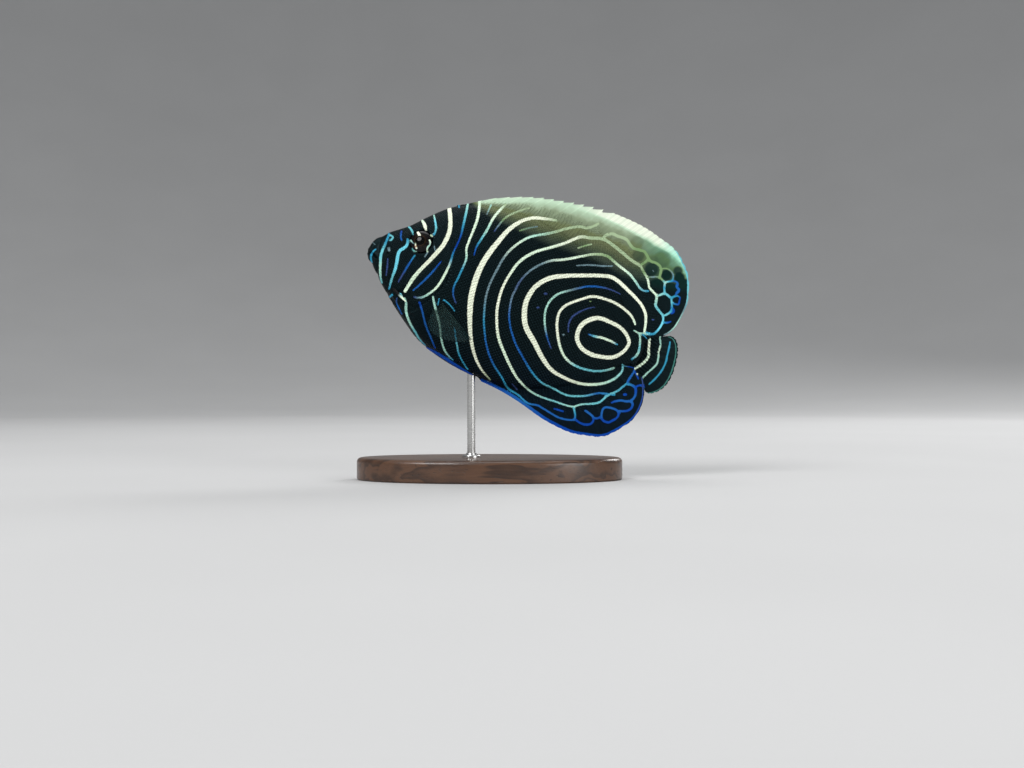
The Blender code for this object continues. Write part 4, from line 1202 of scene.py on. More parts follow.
class Relief:
    """Everything that stands out of the plain body or sinks into it."""

    eye_at = (17.4 * MM, 9.2 * MM)
    eye_radius = 4.2 * MM
    nostrils = ((7.0, 3.0, 0.46), (7.3, 1.2, 0.36))
    cover_lift = 0.5
    fin_base = (31.3, -9.8, 2.0, 0.40)

    def __init__(self, form: FishForm) -> None:
        """Collects the folds.

        Args:
            form: The plain body.
        """
        self.form = form
        self.sets: dict[FoldKind, CurveSet] = {}
        gill_heights = np.linspace(12.0, -15.5, 40) * MM
        gill = np.stack([form.gill_at(gill_heights), gill_heights], 1) / MM
        folds = HEAD_FOLDS + (Fold(FoldKind.STEP, self.cover_lift, 2.6, tuple(map(tuple, gill))),)
        for fold in folds:
            curves = self.sets.setdefault(fold.kind, CurveSet(step=0.1))
            curves.add(np.array(fold.line), np.array([[fold.depth, fold.spread]]))
        for curves in self.sets.values():
            curves.settle()

    def nearness(self, kind: FoldKind, x: Array, z: Array) -> tuple[Array, Array, Array]:
        """The nearest fold of a kind, from places on the side view."""
        return self.sets[kind].nearest(np.stack([x.ravel(), z.ravel()], 1) / MM)

    def height(self, x: Array, z: Array) -> Array:
        """How far the skin stands out.

        Args:
            x: Distances from the snout.
            z: Heights.

        Returns:
            The heights above the plain body, in metres.
        """
        out = np.zeros(x.size)
        head = x.ravel() < 36 * MM
        ax, az = x.ravel()[head], z.ravel()[head]
        rise = np.zeros(ax.size)
        for kind in (FoldKind.CREASE, FoldKind.LIP):
            side, past, values = self.nearness(kind, ax, az)
            near, depth, spread = np.hypot(side, past), values[:, 1], values[:, 2]
            rise -= depth * np.exp(-(near / spread) ** 2)
            if kind is FoldKind.LIP:
                rise += 0.45 * depth * np.exp(-((near - 2.9 * spread) / (1.7 * spread)) ** 2)
        side, past, values = self.nearness(FoldKind.STEP, ax, az)
        share, depth, spread = values[:, 0], values[:, 1], values[:, 2]
        fade = ease(share, 0.0, 0.18) * ease(1 - share, 0.0, 0.18)
        ahead = depth * np.exp(-np.maximum(-side, 0.0) / spread)
        behind = -0.45 * depth * np.exp(-(np.maximum(side, 0.0) / 0.4) ** 2)
        step = np.where(side < 0, ahead, behind)
        rise += step * fade * ease(3.2 * spread - np.hypot(side, past), 0.0, 2.0)
        away = np.hypot(ax - self.eye_at[0], az - self.eye_at[1]) / MM
        radius = self.eye_radius / MM
        rise += 0.20 * np.exp(-((away - radius - 0.6) / 0.6) ** 2)
        rise -= 2.1 * ease(radius + 0.12 - away, 0.0, 0.35)
        for nx, nz, size in self.nostrils:
            away = np.hypot(ax / MM - nx, az / MM - nz) / size
            rise += 0.14 * np.exp(-((away - 1.45) / 0.45) ** 2) - 0.55 * np.exp(-(away / 0.85) ** 2)
        bx, bz, reach, lift = self.fin_base
        rise += lift * np.exp(-(((ax / MM - bx) ** 2 + (az / MM - bz) ** 2) / reach ** 2))
        out[head] = rise * MM
        return out.reshape(x.shape)

    def clear_of_folds(self, x: Array, z: Array) -> Array:
        """Whether a scale may grow at each place: off the eye, lips, nostrils and edges.

        Args:
            x: Distances behind the snout.
            z: Heights.

        Returns:
            True where it may.
        """
        clear = np.hypot(x - self.eye_at[0], z - self.eye_at[1]) > self.eye_radius + 0.75 * MM
        clear &= x > 4.6 * MM
        clear &= (z > 2.4 * MM) | (x > 7.2 * MM)
        for nx, nz, size in self.nostrils:
            clear &= np.hypot(x - nx * MM, z - nz * MM) > (size + 0.55) * MM
        side, past, _ = self.nearness(FoldKind.STEP, x, z)
        clear &= ~((side > -0.55) & (side < 0.75) & (past < 2.0))
        for kind, gap in ((FoldKind.CREASE, 0.42), (FoldKind.LIP, 1.4)):
            clear &= np.hypot(*self.nearness(kind, x, z)[:2]) > gap
        return clear


@dataclass
class Skin:
    """One skin from the lips to the root of the tail fin."""

    form: FishForm
    relief: Relief
    markings: Markings
    rows: int = 146
    depth: float = 0.10 * MM
    spacings: tuple = ((0.02, 10.0, 0.20), (10.0, 33.0, 0.28), (33.0, 104.0, 0.46), (104.0, 106.35, 0.3))
    nodes: tuple[str, ...] = ("head", "lower_jaw", "gill_cover_left", "gill_cover_right", "trunk",
                              "tail_stem")

    def columns(self) -> Array:
        """Distances of the skin's sections from the snout."""
        runs = [np.arange(start, end, step) for start, end, step in self.spacings]
        return np.concatenate(runs + [[self.spacings[-1][1]]]) * MM

    def left_grid(self) -> Array:
        """The plain left flank, its columns drawn along the gill cover's margin near it.

        Returns:
            Points in the fish's frame, by station and around.
        """
        form = self.form
        stations = self.columns()
        heights = np.empty((len(stations), self.rows))
        for k, station in enumerate(stations):
            z, run = form.girth(float(station))
            heights[k] = np.interp(np.linspace(run[0], run[-1], self.rows), run, z)
        middle, half, _, _ = form.section(stations)
        sines = np.clip((heights - middle[:, None]) / half[:, None], -1, 1)
        sines[:, 0], sines[:, -1] = -1.0, 1.0
        along = stations[:, None] * np.ones((1, self.rows))
        follow = ease(along, 14 * MM, 27 * MM) * ease(-along, -46 * MM, -33 * MM)
        z = heights
        for _ in range(14):
            x = along + follow * (form.gill_at(z) - form.gill_margin)
            middle, half, _, _ = form.section(x)
            z = 0.5 * (z + middle + half * sines)
        return form.flank(x, z, -1.0)

    def build(self, material: bpy.types.Material) -> Object:
        """Makes the skin.

        Args:
            material: Its finish.

        Returns:
            The piece.
        """
        left = self.left_grid()
        lift = self.relief.height(left[..., 0], left[..., 2])
        right = self.form.mirrored(left)[:, -2:0:-1]
        ring = np.concatenate([left, right], axis=1)
        lift = np.concatenate([lift, lift[:, -2:0:-1]], axis=1)
        around = np.roll(ring, -1, 1) - np.roll(ring, 1, 1)
        normal = unit(np.cross(around, np.gradient(ring, axis=0)))
        outwards = np.sign((normal * (ring - ring.mean(1, keepdims=True))).sum(-1).mean())
        ring = ring + normal * outwards * (lift - self.depth)[..., None]
        columns, rows = ring.shape[:2]
        ends = np.stack([ring[0].mean(0), ring[-1].mean(0)])
        points = np.concatenate([ring.reshape(-1, 3), ends])
        faces = grid_faces(columns, rows, closed=True)[:, ::-1].tolist()
        last = (columns - 1) * rows
        for k in range(rows):
            faces.append([k, (k + 1) % rows, columns * rows])
            faces.append([last + (k + 1) % rows, last + k, columns * rows + 1])
        piece = make_piece("skin", self.form.to_world(points), faces, material, self.nodes)
        for name, values in self.markings.read(points).items():
            give(piece, name, values)
        return piece


@dataclass(frozen=True)
class ScalePattern:
    """One scale: its outline as shares of its length and width, and how it lifts."""

    outline: tuple = ((-0.45, -0.20), (-0.10, -0.46), (0.20, -0.45), (0.41, -0.28), (0.50, 0.0), (0.41, 0.28),
                      (0.20, 0.45), (-0.10, 0.46), (-0.45, 0.20))
    crown: tuple = (0.12, 0.0)
    lift: float = 0.075 * MM
    sink: float = 0.05 * MM
    dome: float = 0.035 * MM
    thickness: float = 0.07 * MM
    patch: float = 0.003
    patch_step: float = 0.0036


@dataclass
class ScaleCoat:
    """Overlapping scales in rows along the body and up onto the fins' feet."""

    form: FishForm
    relief: Relief
    markings: Markings
    pattern: ScalePattern = field(default_factory=ScalePattern)
    seed: int = 11
    unwrap: float = 7.6

    def lattice(self, first: float, last: float, step: float, row: float) -> tuple[Array, Array, Array]:
        """Roots of scales on the left flank.

        Args:
            first: Where the rows start, from the snout.
            last: Where they end.
            step: The distance between columns.
            row: The distance between rows.

        Returns:
            Distances from the snout, heights, and distances along the skin from the widest line.
        """
        xs, zs, runs = [], [], []
        for k, x in enumerate(np.arange(first, last, step)):
            z, run = self.form.girth(float(x))
            rows = np.arange(math.ceil(run[0] / row) - 1, math.floor(run[-1] / row) + 1)
            at = (rows + 0.5 * (k % 2)) * row
            at = at[(at > run[0] + 0.25 * row) & (at < run[-1] - 0.25 * row)]
            xs.append(np.full(len(at), x))
            zs.append(np.interp(at, run, z))
            runs.append(at)
        return np.concatenate(xs), np.concatenate(zs), np.concatenate(runs)

    def plates(self, name: str, roots: Array, along: Array, across: Array, normal: Array, length: Array,
               width: Array, unwrapped: Array, material: bpy.types.Material, right: bool,
               settle: bool) -> Object:
        """Makes scales on the left side, or their mirror images on the right.

        Args:
            name: The piece's name.
            roots: The middle of each scale, on the skin.
            along: Which way it points.
            across: Its width's direction.
            normal: Which way the skin faces there.
            length: Its length.
            width: Its width.
            unwrapped: Its place on the unwrapped skin.
            material: Its finish.
            right: Whether the scales are mirrored to the right side.
            settle: Whether each scale is fitted to the body's curves.

        Returns:
            The piece.
        """
        pattern = self.pattern
        shape = np.array(pattern.outline + (pattern.crown,))
        rng = np.random.default_rng(self.seed)
        count, corners = len(roots), len(pattern.outline)
        a = shape[:, 0][None, :] * length[:, None]
        c = shape[:, 1][None, :] * width[:, None]
        place = roots[:, None] + along[:, None] * a[..., None] + across[:, None] * c[..., None]
        facing = np.broadcast_to(normal[:, None], place.shape)
        if settle:
            x, z = place[..., 0], place[..., 2]
            lift = self.relief.height(x, z)
            on_skin = self.form.flank(x, z, -1.0)
            reach = np.abs(on_skin[..., 1] - place[..., 1])
            place = np.where((reach < 0.5 * MM)[..., None], on_skin, place) + facing * lift[..., None]
        size = (length / length.max())[:, None]
        rise = (shape[:, 0] + 0.45) / 0.95 * (pattern.lift + pattern.sink) - pattern.sink
        rise = rise - pattern.dome * (shape[:, 1] / 0.46) ** 2
        rise = rise[None, :] * size * (0.85 + 0.3 * rng.random((count, 1)))
        top = place + facing * rise[..., None]
        under = top - facing * (pattern.thickness * size)[..., None]
        points = np.concatenate([top, under[:, :corners]], axis=1)
        total = points.shape[1]
        fan = [(k, (k + 1) % corners, corners) for k in range(corners)]
        wall = [(k, corners + 1 + k, corners + 1 + (k + 1) % corners) for k in range(corners)]
        wall += [(k, corners + 1 + (k + 1) % corners, (k + 1) % corners) for k in range(corners)]
        floor = [(corners + 1, corners + 1 + k + 1, corners + 1 + k) for k in range(1, corners - 1)]
        one = np.array(fan + wall + floor)
        if not right:
            one = one[:, ::-1]
        faces = (one[None] + (np.arange(count) * total)[:, None, None]).reshape(-1, 3)
        flat = points.reshape(-1, 3)
        flat = self.form.mirrored(flat) if right else flat
        piece = make_piece(name, self.form.to_world(flat), faces, material)
        for key, values in self.markings.read(flat).items():
            give(piece, key, values)
        # rim runs from 0 at a scale's root to 1 at its free edge and under it; the scale finish paints shade
        # by it.
        rim = np.concatenate([np.clip((shape[:, 0] + 0.45) / 0.95, 0, 1), np.ones(corners)])
        rim[corners] = 0.4
        give(piece, "rim", np.tile(rim, count))
        give(piece, "tint", np.repeat(rng.random(count), total))
        spots = np.concatenate([shape, shape[:corners]]) * pattern.patch
        spots[corners + 1:, 0] += pattern.patch_step
        uv = (unwrapped[:, None] + spots[None]).reshape(-1, 2)
        layer = piece.data.uv_layers.new(name="OFBake")
        layer.data.foreach_set("uv", uv[faces.ravel()].astype(np.float32).ravel())
        return piece

    def body(self, name: str, first: float, last: float, step: float, row: float,
             material: bpy.types.Material) -> None:
        """Covers a stretch of both flanks.

        Args:
            name: The pieces' name before the side.
            first: Where the scales start, from the snout.
            last: Where they end.
            step: The distance between columns.
            row: The distance between rows.
            material: Their finish.
        """
        x, z, run = self.lattice(first, last, step, row)
        clear = self.relief.clear_of_folds(x, z)
        x, z, run = x[clear], z[clear], run[clear]
        roots = self.form.flank(x, z, -1.0)
        normal = self.form.normal(x, z, -1.0)
        ahead = self.form.flank(x + 0.4 * MM, z + 0.4 * MM * self.flow(x, z), -1.0)
        along = unit(ahead - roots)
        along = unit(along - normal * (along * normal).sum(-1, keepdims=True))
        across = np.cross(normal, along)
        small = 0.8 + 0.2 * ease(x, 0.0, 24 * MM)
        length, width = 2.6 * step * small, 1.32 * row * small
        unwrapped = np.stack([0.05 + x * self.unwrap, 0.5 + run * self.unwrap], 1)
        for word, right in (("left", False), ("right", True)):
            self.plates(f"{name}_{word}", roots, along, across, normal, length, width, unwrapped, material,
                        right, True)

    def flow(self, x: Array, z: Array) -> Array:
        """The slope of the rows of scales on the side view.

        Args:
            x: Distances behind the snout.
            z: Heights.

        Returns:
            The rise of the row for each step to the rear.
        """
        step = 0.5 * MM
        middle, half, _, _ = self.form.section(x)
        share = (z - middle) / half
        later_middle, later_half, _, _ = self.form.section(x + step)
        return (later_middle + later_half * share - z) / step * np.clip(np.abs(share), 0, 1)


class RayKind(Enum):
    """How a fin's rays are built."""

    SPINE = "stiff, pointed, with the web cut back behind each tip"
    SOFT = "jointed, and branching towards the edge"


@dataclass
class Blade:
    """A fin: a fan of rays joined by web, between a root line and a tip line."""

    name: str
    rays: int
    roots: Array
    tips: Array
    kind: RayKind = RayKind.SOFT
    ray_half: float = 0.40 * MM
    web_half: float = 0.20 * MM
    edge_half: float = 0.10 * MM
    root_half: float = 0.74 * MM
    root_reach: float = 0.3
    notch: float = 0.008
    per_ray: int = 10
    rows: int = 64
    wave: float = 0.0
    sunk: float = 0.0
    swing: float = 0.0
    bow: float = 0.0
    end_bow: float = 0.0

    def lines(self, across: Array) -> tuple[Array, Array]:
        """Root and tip points at places across the fin, counted in rays.

        Args:
            across: The places.

        Returns:
            The points on the root line and those on the tip line.
        """
        at = np.linspace(0, self.rays - 1, len(self.roots))
        return tuple(np.stack([np.interp(across, at, part) for part in line.T], -1)
                     for line in (self.roots, self.tips))

    def ray(self, across: Array, out: Array) -> Array:
        """How much of a ray there is at each place, from 0 on the web to 1.

        Args:
            across: Places across the fin, counted in rays.
            out: Places from root, 0, to tip, 1.

        Returns:
            The share of ray.
        """
        off = np.abs(across - np.round(across))
        if self.kind is RayKind.SPINE:
            return np.exp(-(off / (0.15 - 0.08 * out)) ** 2)
        fork = 0.17 * ease(out, 0.34, 0.95)
        twig = 0.075 * ease(out, 0.66, 1.05)
        slim = 0.115 - 0.045 * np.clip(out, 0, 1)
        first = np.abs(off - fork)
        return np.exp(-(np.abs(first - twig) / slim) ** 2)

    def reach(self, across: Array) -> Array:
        """How far out the edge lies, as a share of the way from root to tip.

        Args:
            across: Places across the fin, counted in rays.

        Returns:
            The share, at most 1.
        """
        if self.kind is RayKind.SPINE:
            behind = across - np.floor(across)
            cut = np.where(behind < 0.12, behind / 0.12, ((1 - behind) / 0.88) ** 0.8)
            return 1.0 - self.notch * cut
        ones = np.ones_like(across)
        return 1.0 - self.notch * (1 - self.ray(across, ones)) - self.notch * 0.5 * ease(
            np.abs(across - np.round(across)), 0.25, 0.5)

    def middle(self, across: Array, out: Array) -> Array:
        """Points on the middle of the blade.

        Args:
            across: Places across the fin, counted in rays.
            out: Places from root, 0, to tip, 1.

        Returns:
            Points in the fish's frame.
        """
        root, tip = self.lines(across)
        run = tip - root
        length = np.linalg.norm(run, axis=-1, keepdims=True)
        point = root + run * out[..., None] - run / length * self.sunk * (1 - out[..., None])
        aside = np.stack([-run[..., 2], np.zeros_like(out), run[..., 0]], -1)
        bow = self.bow + self.end_bow * (across / (self.rays - 1)) ** 10
        point = point + aside * (bow * np.sin(math.pi * np.clip(out, 0, 1)))[..., None]
        point[..., 1] += self.swing * np.clip(out, 0, None) ** 1.6
        point[..., 1] += self.wave * np.sin(across * 0.9 + 0.6) * np.clip(out, 0, 1) ** 2
        return point

    def half(self, across: Array, out: Array) -> Array:
        """Half the blade's thickness.

        Args:
            across: Places across the fin, counted in rays.
            out: Places from root, 0, to tip, 1.

        Returns:
            Half the thickness at each place.
        """
        ray = self.ray(across, out)
        web = self.web_half + (self.edge_half - self.web_half) * out ** 1.3
        top = self.ray_half + (1.3 * self.edge_half - self.ray_half) * out ** 1.2
        body = web + (top - web) * ray
        from_root = np.clip(1 - out / self.root_reach, 0, 1) ** 1.3
        return self.root_half * from_root + body * (1 - from_root)

    def grid(self) -> tuple[Array, Array, Array]:
        """Lays the blade's grid.

        Returns:
            Middle points, places across the blade and places out along it.
        """
        columns = (self.rays - 1) * self.per_ray + 1
        across = np.linspace(0, self.rays - 1, columns)[:, None] * np.ones((1, self.rows))
        share = np.linspace(0, 1, self.rows) ** 0.92
        out = share[None, :] * self.reach(across)
        return self.middle(across, out), across, out

    def edge(self) -> Array:
        """The fin's free edge, without its notches."""
        across = np.linspace(0, self.rays - 1, 120)
        return self.middle(across, np.ones_like(across))

    def build(self, form: FishForm, markings: Markings | None, material: bpy.types.Material, slot: str,
              node: str) -> Object:
        """Makes the fin.

        Args:
            form: The body that it belongs to.
            markings: The paint's stripes, or None for a clear fin.
            material: Its finish.
            slot: Not used.
            node: The solid that it stands for.

        Returns:
            The piece.
        """
        middle, across, out = self.grid()
        columns, rows = across.shape
        normal = unit(np.cross(np.gradient(middle, axis=0), np.gradient(middle, axis=1)))
        half = self.half(across, out)[..., None]
        points = np.stack([middle + normal * half, middle - normal * half]).reshape(-1, 3)
        count = columns * rows
        front = grid_faces(columns, rows)
        faces = np.concatenate([front, front[:, ::-1] + count]).tolist()
        rim = [j * rows for j in range(columns)] + [(columns - 1) * rows + i for i in range(1, rows)]
        rim += [j * rows + rows - 1 for j in range(columns - 2, -1, -1)] + list(range(rows - 2, 0, -1))
        faces += [[a, a + count, b + count, b] for a, b in zip(rim, rim[1:] + rim[:1])]
        piece = make_piece(self.name, form.to_world(points), faces, material, (node,))
        if markings:
            for key, values in markings.read(points).items():
                give(piece, key, values)
        give(piece, "ray", np.tile(self.ray(across, out).ravel(), 2))
        give(piece, "out", np.tile(out.ravel(), 2))
        give(piece, "flesh", np.tile(ease(0.16 - out, 0.0, 0.16).ravel(), 2))
        give(piece, "lead", np.tile(ease(-across, -0.5, -0.2).ravel(), 2))
        return piece


@dataclass
class Fins:
    """All fins of the fish."""

    form: FishForm
    markings: Markings
    spiny_from: float = 0.250
    split: float = 0.665
    dorsal_at: tuple = (0.250, 0.30, 0.36, 0.52, 0.67, 0.80, 0.89, 0.935, 0.95, 0.965, 0.975, 0.985)
    dorsal_tips: tuple = ((0.262, 0.268), (0.335, 0.316), (0.415, 0.354), (0.595, 0.404), (0.760, 0.4215),
                          (0.925, 0.402), (1.040, 0.352), (1.092, 0.280), (1.108, 0.228), (1.107, 0.172),
                          (1.096, 0.120), (1.073, 0.087))
    anal_at: tuple = (0.515, 0.56, 0.61, 0.71, 0.81, 0.885, 0.93, 0.945, 0.96, 0.98)
    anal_tips: tuple = ((0.530, -0.290), (0.600, -0.296), (0.665, -0.308), (0.800, -0.341), (0.925, -0.341),
                        (1.025, -0.294), (1.082, -0.196), (1.083, -0.150), (1.072, -0.112), (1.053, -0.077))
    caudal_tips: tuple = ((1.095, 0.094), (1.125, 0.083), (1.145, 0.038), (1.151, -0.036), (1.136, -0.089),
                          (1.100, -0.121), (1.076, -0.113))
    caudal_swing: float = 3.0 * MM
    breast_root: tuple = ((31.6, -8.4), (30.3, -11.6))
    breast_tips: tuple = ((47.0, -17.4), (45.6, -19.0), (41.4, -20.4), (36.8, -20.9), (32.6, -20.0),
                          (30.0, -17.0))
    breast_spread: tuple[float, float] = (7.5, 4.0)
    belly_root: tuple = ((32.4, 3.5, -23.4), (33.6, 0.9, -25.6))
    belly_tips: tuple = ((46.0, 3.1, -25.6), (49.6, 2.9, -27.2), (51.5, 2.2, -28.6), (51.4, 1.3, -29.2))

    def upright(self, name: str, first: float, last: float, at: tuple, tips: tuple, profile: tuple, rays: int,
                kind: RayKind, **details: float) -> Blade:
        """A fin that stands in the fish's middle plane.

        Args:
            name: The piece's name.
            first: Where its first ray is rooted, as a share of the fish's length.
            last: Where its last ray is rooted.
            at: The root places that the tip points belong to.
            tips: The tip points as shares of the length.
            profile: The back's or belly's outline.
            rays: How many rays it has.
            kind: How they are built.
            details: Sizes that differ from the usual.

        Returns:
            The fin.
        """
        form = self.form
        shares = np.linspace(first, last, (rays - 1) * 6 + 1)
        x = shares * form.length
        sign = 1.0 if profile is form.back else -1.0
        inside = sign * 1.6 * MM * ease(shares, last - 0.07, last)
        root = np.stack([x, form.bend(x), form.profile(profile, x) * form.length - inside], 1)
        tip = smooth_through(tips, at, shares) * form.length
        tip = np.stack([tip[:, 0], form.bend(tip[:, 0]), tip[:, 1]], 1)
        return Blade(name, rays, root, tip, kind, **details)

    def spread_line(self, stations: tuple, count: int) -> Array:
        """Points along a smooth line through stations given in millimetres."""
        stations = np.asarray(stations, float)
        return smooth_through(stations, np.linspace(0, 1, len(stations)), np.linspace(0, 1, count)) * MM

    def caudal(self) -> Blade:
        """The tail fin.

        Returns:
            The fin.
        """
        form, count = self.form, 91
        middle, half, _, _ = form.section(np.array([form.length]))
        stations = np.linspace(0, 1, len(self.caudal_tips))
        tips = smooth_through(self.caudal_tips, stations, np.linspace(0, 1, count))
        tips = tips * form.length
        height = middle[0] + (half[0] - 0.35 * MM) * np.linspace(1, -1, count)
        start = np.full(count, form.length + 0.3 * MM)
        root = np.stack([start, form.bend(start), height], 1)
        tip = np.stack([tips[:, 0], form.bend(tips[:, 0]), tips[:, 1]], 1)
        return Blade("tail_fin", 16, root, tip, root_half=1.5 * MM, root_reach=0.22, sunk=1.5 * MM,
                     swing=self.caudal_swing, rows=58, notch=0.012)

    def breast(self, word: str, side: float) -> Blade:
        """A breast fin, spread down and out.

        Args:
            word: The side's name.
            side: -1 for the left side, 1 for the right.

        Returns:
            The fin.
        """
        form, count = self.form, 103
        root, tip = self.spread_line(self.breast_root, count), self.spread_line(self.breast_tips, count)
        out = np.linspace(*self.breast_spread, count) * MM
        root_y = side * (form.half_width(root[:, 0], root[:, 1]) - 0.5 * MM)
        tip_y = side * (form.half_width(tip[:, 0], tip[:, 1]) + out)
        return Blade("breast_fin_" + word, 18, np.stack([root[:, 0], root_y, root[:, 1]], 1),
                     np.stack([tip[:, 0], tip_y, tip[:, 1]], 1), ray_half=0.24 * MM, web_half=0.09 * MM,
                     edge_half=0.05 * MM, root_half=0.62 * MM, sunk=0.6 * MM, notch=0.035, rows=50,
                     wave=0.12 * MM, root_reach=0.2)

    def belly(self, word: str, side: float) -> Blade:
        """A belly fin, folded back under the belly.

        Args:
            word: The side's name.
            side: -1 for the left side, 1 for the right.

        Returns:
            The fin.
        """
        root, tip = self.spread_line(self.belly_root, 61), self.spread_line(self.belly_tips, 61)
        root[:, 1] *= side
        tip[:, 1] *= side
        return Blade("belly_fin_" + word, 6, root, tip, ray_half=0.36 * MM, root_half=0.55 * MM,
                     sunk=1.2 * MM, notch=0.02, rows=48, bow=-0.035, root_reach=0.34)

    def build(self, fin: bpy.types.Material, clear: bpy.types.Material) -> list[Blade]:
        """Makes every fin.

        Args:
            fin: The finish of the painted fins.
            clear: The finish of the breast fins.

        Returns:
            The upright fins, whose feet carry scales.
        """
        form = self.form
        sunk = {"sunk": 1.2 * MM}
        uprights = [
            (self.upright("back_fin_spines", self.spiny_from, self.split, self.dorsal_at, self.dorsal_tips,
                          form.back, 14, RayKind.SPINE, notch=0.08, rows=56, per_ray=12, ray_half=0.34 * MM,
                          web_half=0.25 * MM, **sunk),
             "dorsal_fin_spiny"),
            (self.upright("back_fin_rays", self.split, 0.985, self.dorsal_at, self.dorsal_tips, form.back, 20,
                          RayKind.SOFT, rows=96, ray_half=0.34 * MM, web_half=0.25 * MM, end_bow=-0.13,
                          **sunk),
             "dorsal_fin_soft"),
            (self.upright("anal_fin_rays", 0.515, 0.98, self.anal_at, self.anal_tips, form.belly, 22,
                          RayKind.SOFT, rows=72, end_bow=0.12, **sunk), "anal_fin"),
            (self.caudal(), "caudal_fin"),
        ]
        spines, soft, anal, tail = (blade for blade, _ in uprights)
        self.markings.draw_rim(soft.edge()[72:], (0.6, 2.4, 2.2, 1.8, 1.4, 1.2), (Y, Y, Y, Y, G, M, G), 0.8)
        self.markings.draw_rim(anal.edge(), (3.0, 3.6, 3.4, 2.6, 1.6, 1.0), (R, B, R, R, R, V), -1.5)
        self.markings.draw_rim(tail.edge(), (1.0, 1.3, 1.1), (P,), 0.5)
        self.markings.curves.settle()
        for blade, node in uprights:
            blade.build(form, self.markings, fin, "fin_web", node)
        for word, side in (("left", -1.0), ("right", 1.0)):
            self.breast(word, side).build(form, None, clear, "clear_fin", "pectoral_fin_" + word)
            self.belly(word, side).build(form, self.markings, fin, "fin_web", "pelvic_fin_" + word)
        return [spines, soft, anal, tail]


@dataclass
class FinScales:
    """Small scales over the feet of the upright fins, smaller towards the edge."""

    coat: ScaleCoat
    row: float = 0.62 * MM
    gap: float = 1.15 * MM
    cover: float = 0.55

    def feet(self, blade: Blade) -> tuple[Array, ...]:
        """Scales on one fin's left side.

        Args:
            blade: The fin.

        Returns:
            Roots, directions along and across, facings, lengths and widths.
        """
        parts = []
        across = np.linspace(0, blade.rays - 1, 800)
        root, tip = blade.lines(across)
        length = np.linalg.norm(tip - root, axis=1)
        rows = int(self.cover * length.max() / self.row)
        for k in range(rows):
            out = (k * self.row - 0.1 * MM) / length
            line = blade.middle(across, out)
            run = np.concatenate([[0.0], np.cumsum(np.linalg.norm(np.diff(line, axis=0), axis=1))])
            places = (np.arange(int(run[-1] / self.gap)) + 0.25 + 0.5 * (k % 2)) * self.gap
            at = np.interp(places[places < run[-1]], run, across)
            share = np.interp(at, across, out)
            keep = share < self.cover + 0.05 * np.sin(at * 2.7)
            at, share = at[keep], share[keep]
            here = blade.middle(at, share)
            along = unit(blade.middle(at, share + 0.01) - here)
            beside = unit(blade.middle(at + 0.05, share) - here)
            normal = unit(np.cross(along, beside))
            normal = normal * np.where(normal[:, 1:2] > 0, -1.0, 1.0)
            size = 1.0 - 0.55 * np.clip(share / self.cover, 0, 1)
            smooth = blade.web_half + (blade.root_half - blade.web_half) * np.clip(
                1 - share / blade.root_reach, 0, 1) ** 1.3
            ridge = np.maximum(smooth, blade.half(at, np.clip(share, 0, 1)))
            here = here + normal * (ridge - 0.02 * MM)[:, None]
            parts.append((here, along, unit(np.cross(normal, along)), normal, 2.5 * self.row * size,
                          1.3 * self.gap * size))
        return tuple(np.concatenate(column) for column in zip(*parts))

    def build(self, blades: list[Blade], material: bpy.types.Material) -> None:
        """Covers the fins' feet on both sides.

        Args:
            blades: The fins.
            material: The scales' finish.
        """
        joined = tuple(np.concatenate(column) for column in zip(*(self.feet(blade) for blade in blades)))
        roots, along, across, normal, length, width = joined
        unwrapped = (0.03, 0.42) + roots[:, [0, 2]] * self.coat.unwrap
        for word, right in (("left", False), ("right", True)):
            self.coat.plates("fin_scales_" + word, roots, along, across, normal, length, width, unwrapped,
                             material, right, False)


@dataclass
class Eyes:
    """Both eyes: flattened glassy balls that bulge at the cornea."""

    form: FishForm
    markings: Markings
    radius: float = 4.16 * MM
    depth: float = 1.9 * MM
    sunk: float = 0.72 * MM
    bulge: float = 0.18 * MM
    rings: int = 60
    spokes: int = 96

    def build(self, material: bpy.types.Material) -> None:
        """Makes both eyes.

        Args:
            material: Their finish.
        """
        at = Relief.eye_at
        centre = self.form.flank(np.array([at[0]]), np.array([at[1]]), -1.0)[0]
        facing = self.form.normal(np.array([at[0]]), np.array([at[1]]), -1.0)[0]
        along = unit(np.cross(np.array([0.0, 0.0, 1.0]), facing))
        up = np.cross(facing, along)
        tilt = np.linspace(0, math.pi, self.rings)[:, None]
        turn = np.linspace(0, 2 * math.pi, self.spokes, endpoint=False)[None, :]
        out = np.sin(tilt) * np.ones_like(turn)
        rise = self.depth * np.cos(tilt) + self.bulge * np.exp(-(out / 0.5) ** 2) * (tilt < 1.5)
        spot = centre + facing * (rise - self.sunk)[..., None]
        spot = spot + along * (self.radius * out * np.cos(turn))[..., None]
        left = (spot + up * (self.radius * out * np.sin(turn))[..., None]).reshape(-1, 3)
        rng = np.random.default_rng(5)
        streaks = np.interp(np.linspace(0, 1, self.spokes), np.linspace(0, 1, 49),
                            np.append(rng.random(48), 0.5))
        faces = grid_faces(self.rings, self.spokes, closed=True)
        for word, right in (("left", False), ("right", True)):
            points = self.form.mirrored(left) if right else left
            turned = faces if right else faces[:, ::-1]
            piece = make_piece("eyeball_" + word, self.form.to_world(points), turned, material,
                               ("eye_" + word,))
            for key, values in self.markings.read(points).items():
                give(piece, key, values)
            oval = np.hypot(out * np.cos(turn) * 0.96 + 0.02, out * np.sin(turn))
            give(piece, "eye_out", np.where(tilt < math.pi / 2, oval, 1.0).ravel())
            give(piece, "streak", np.tile(streaks, self.rings))


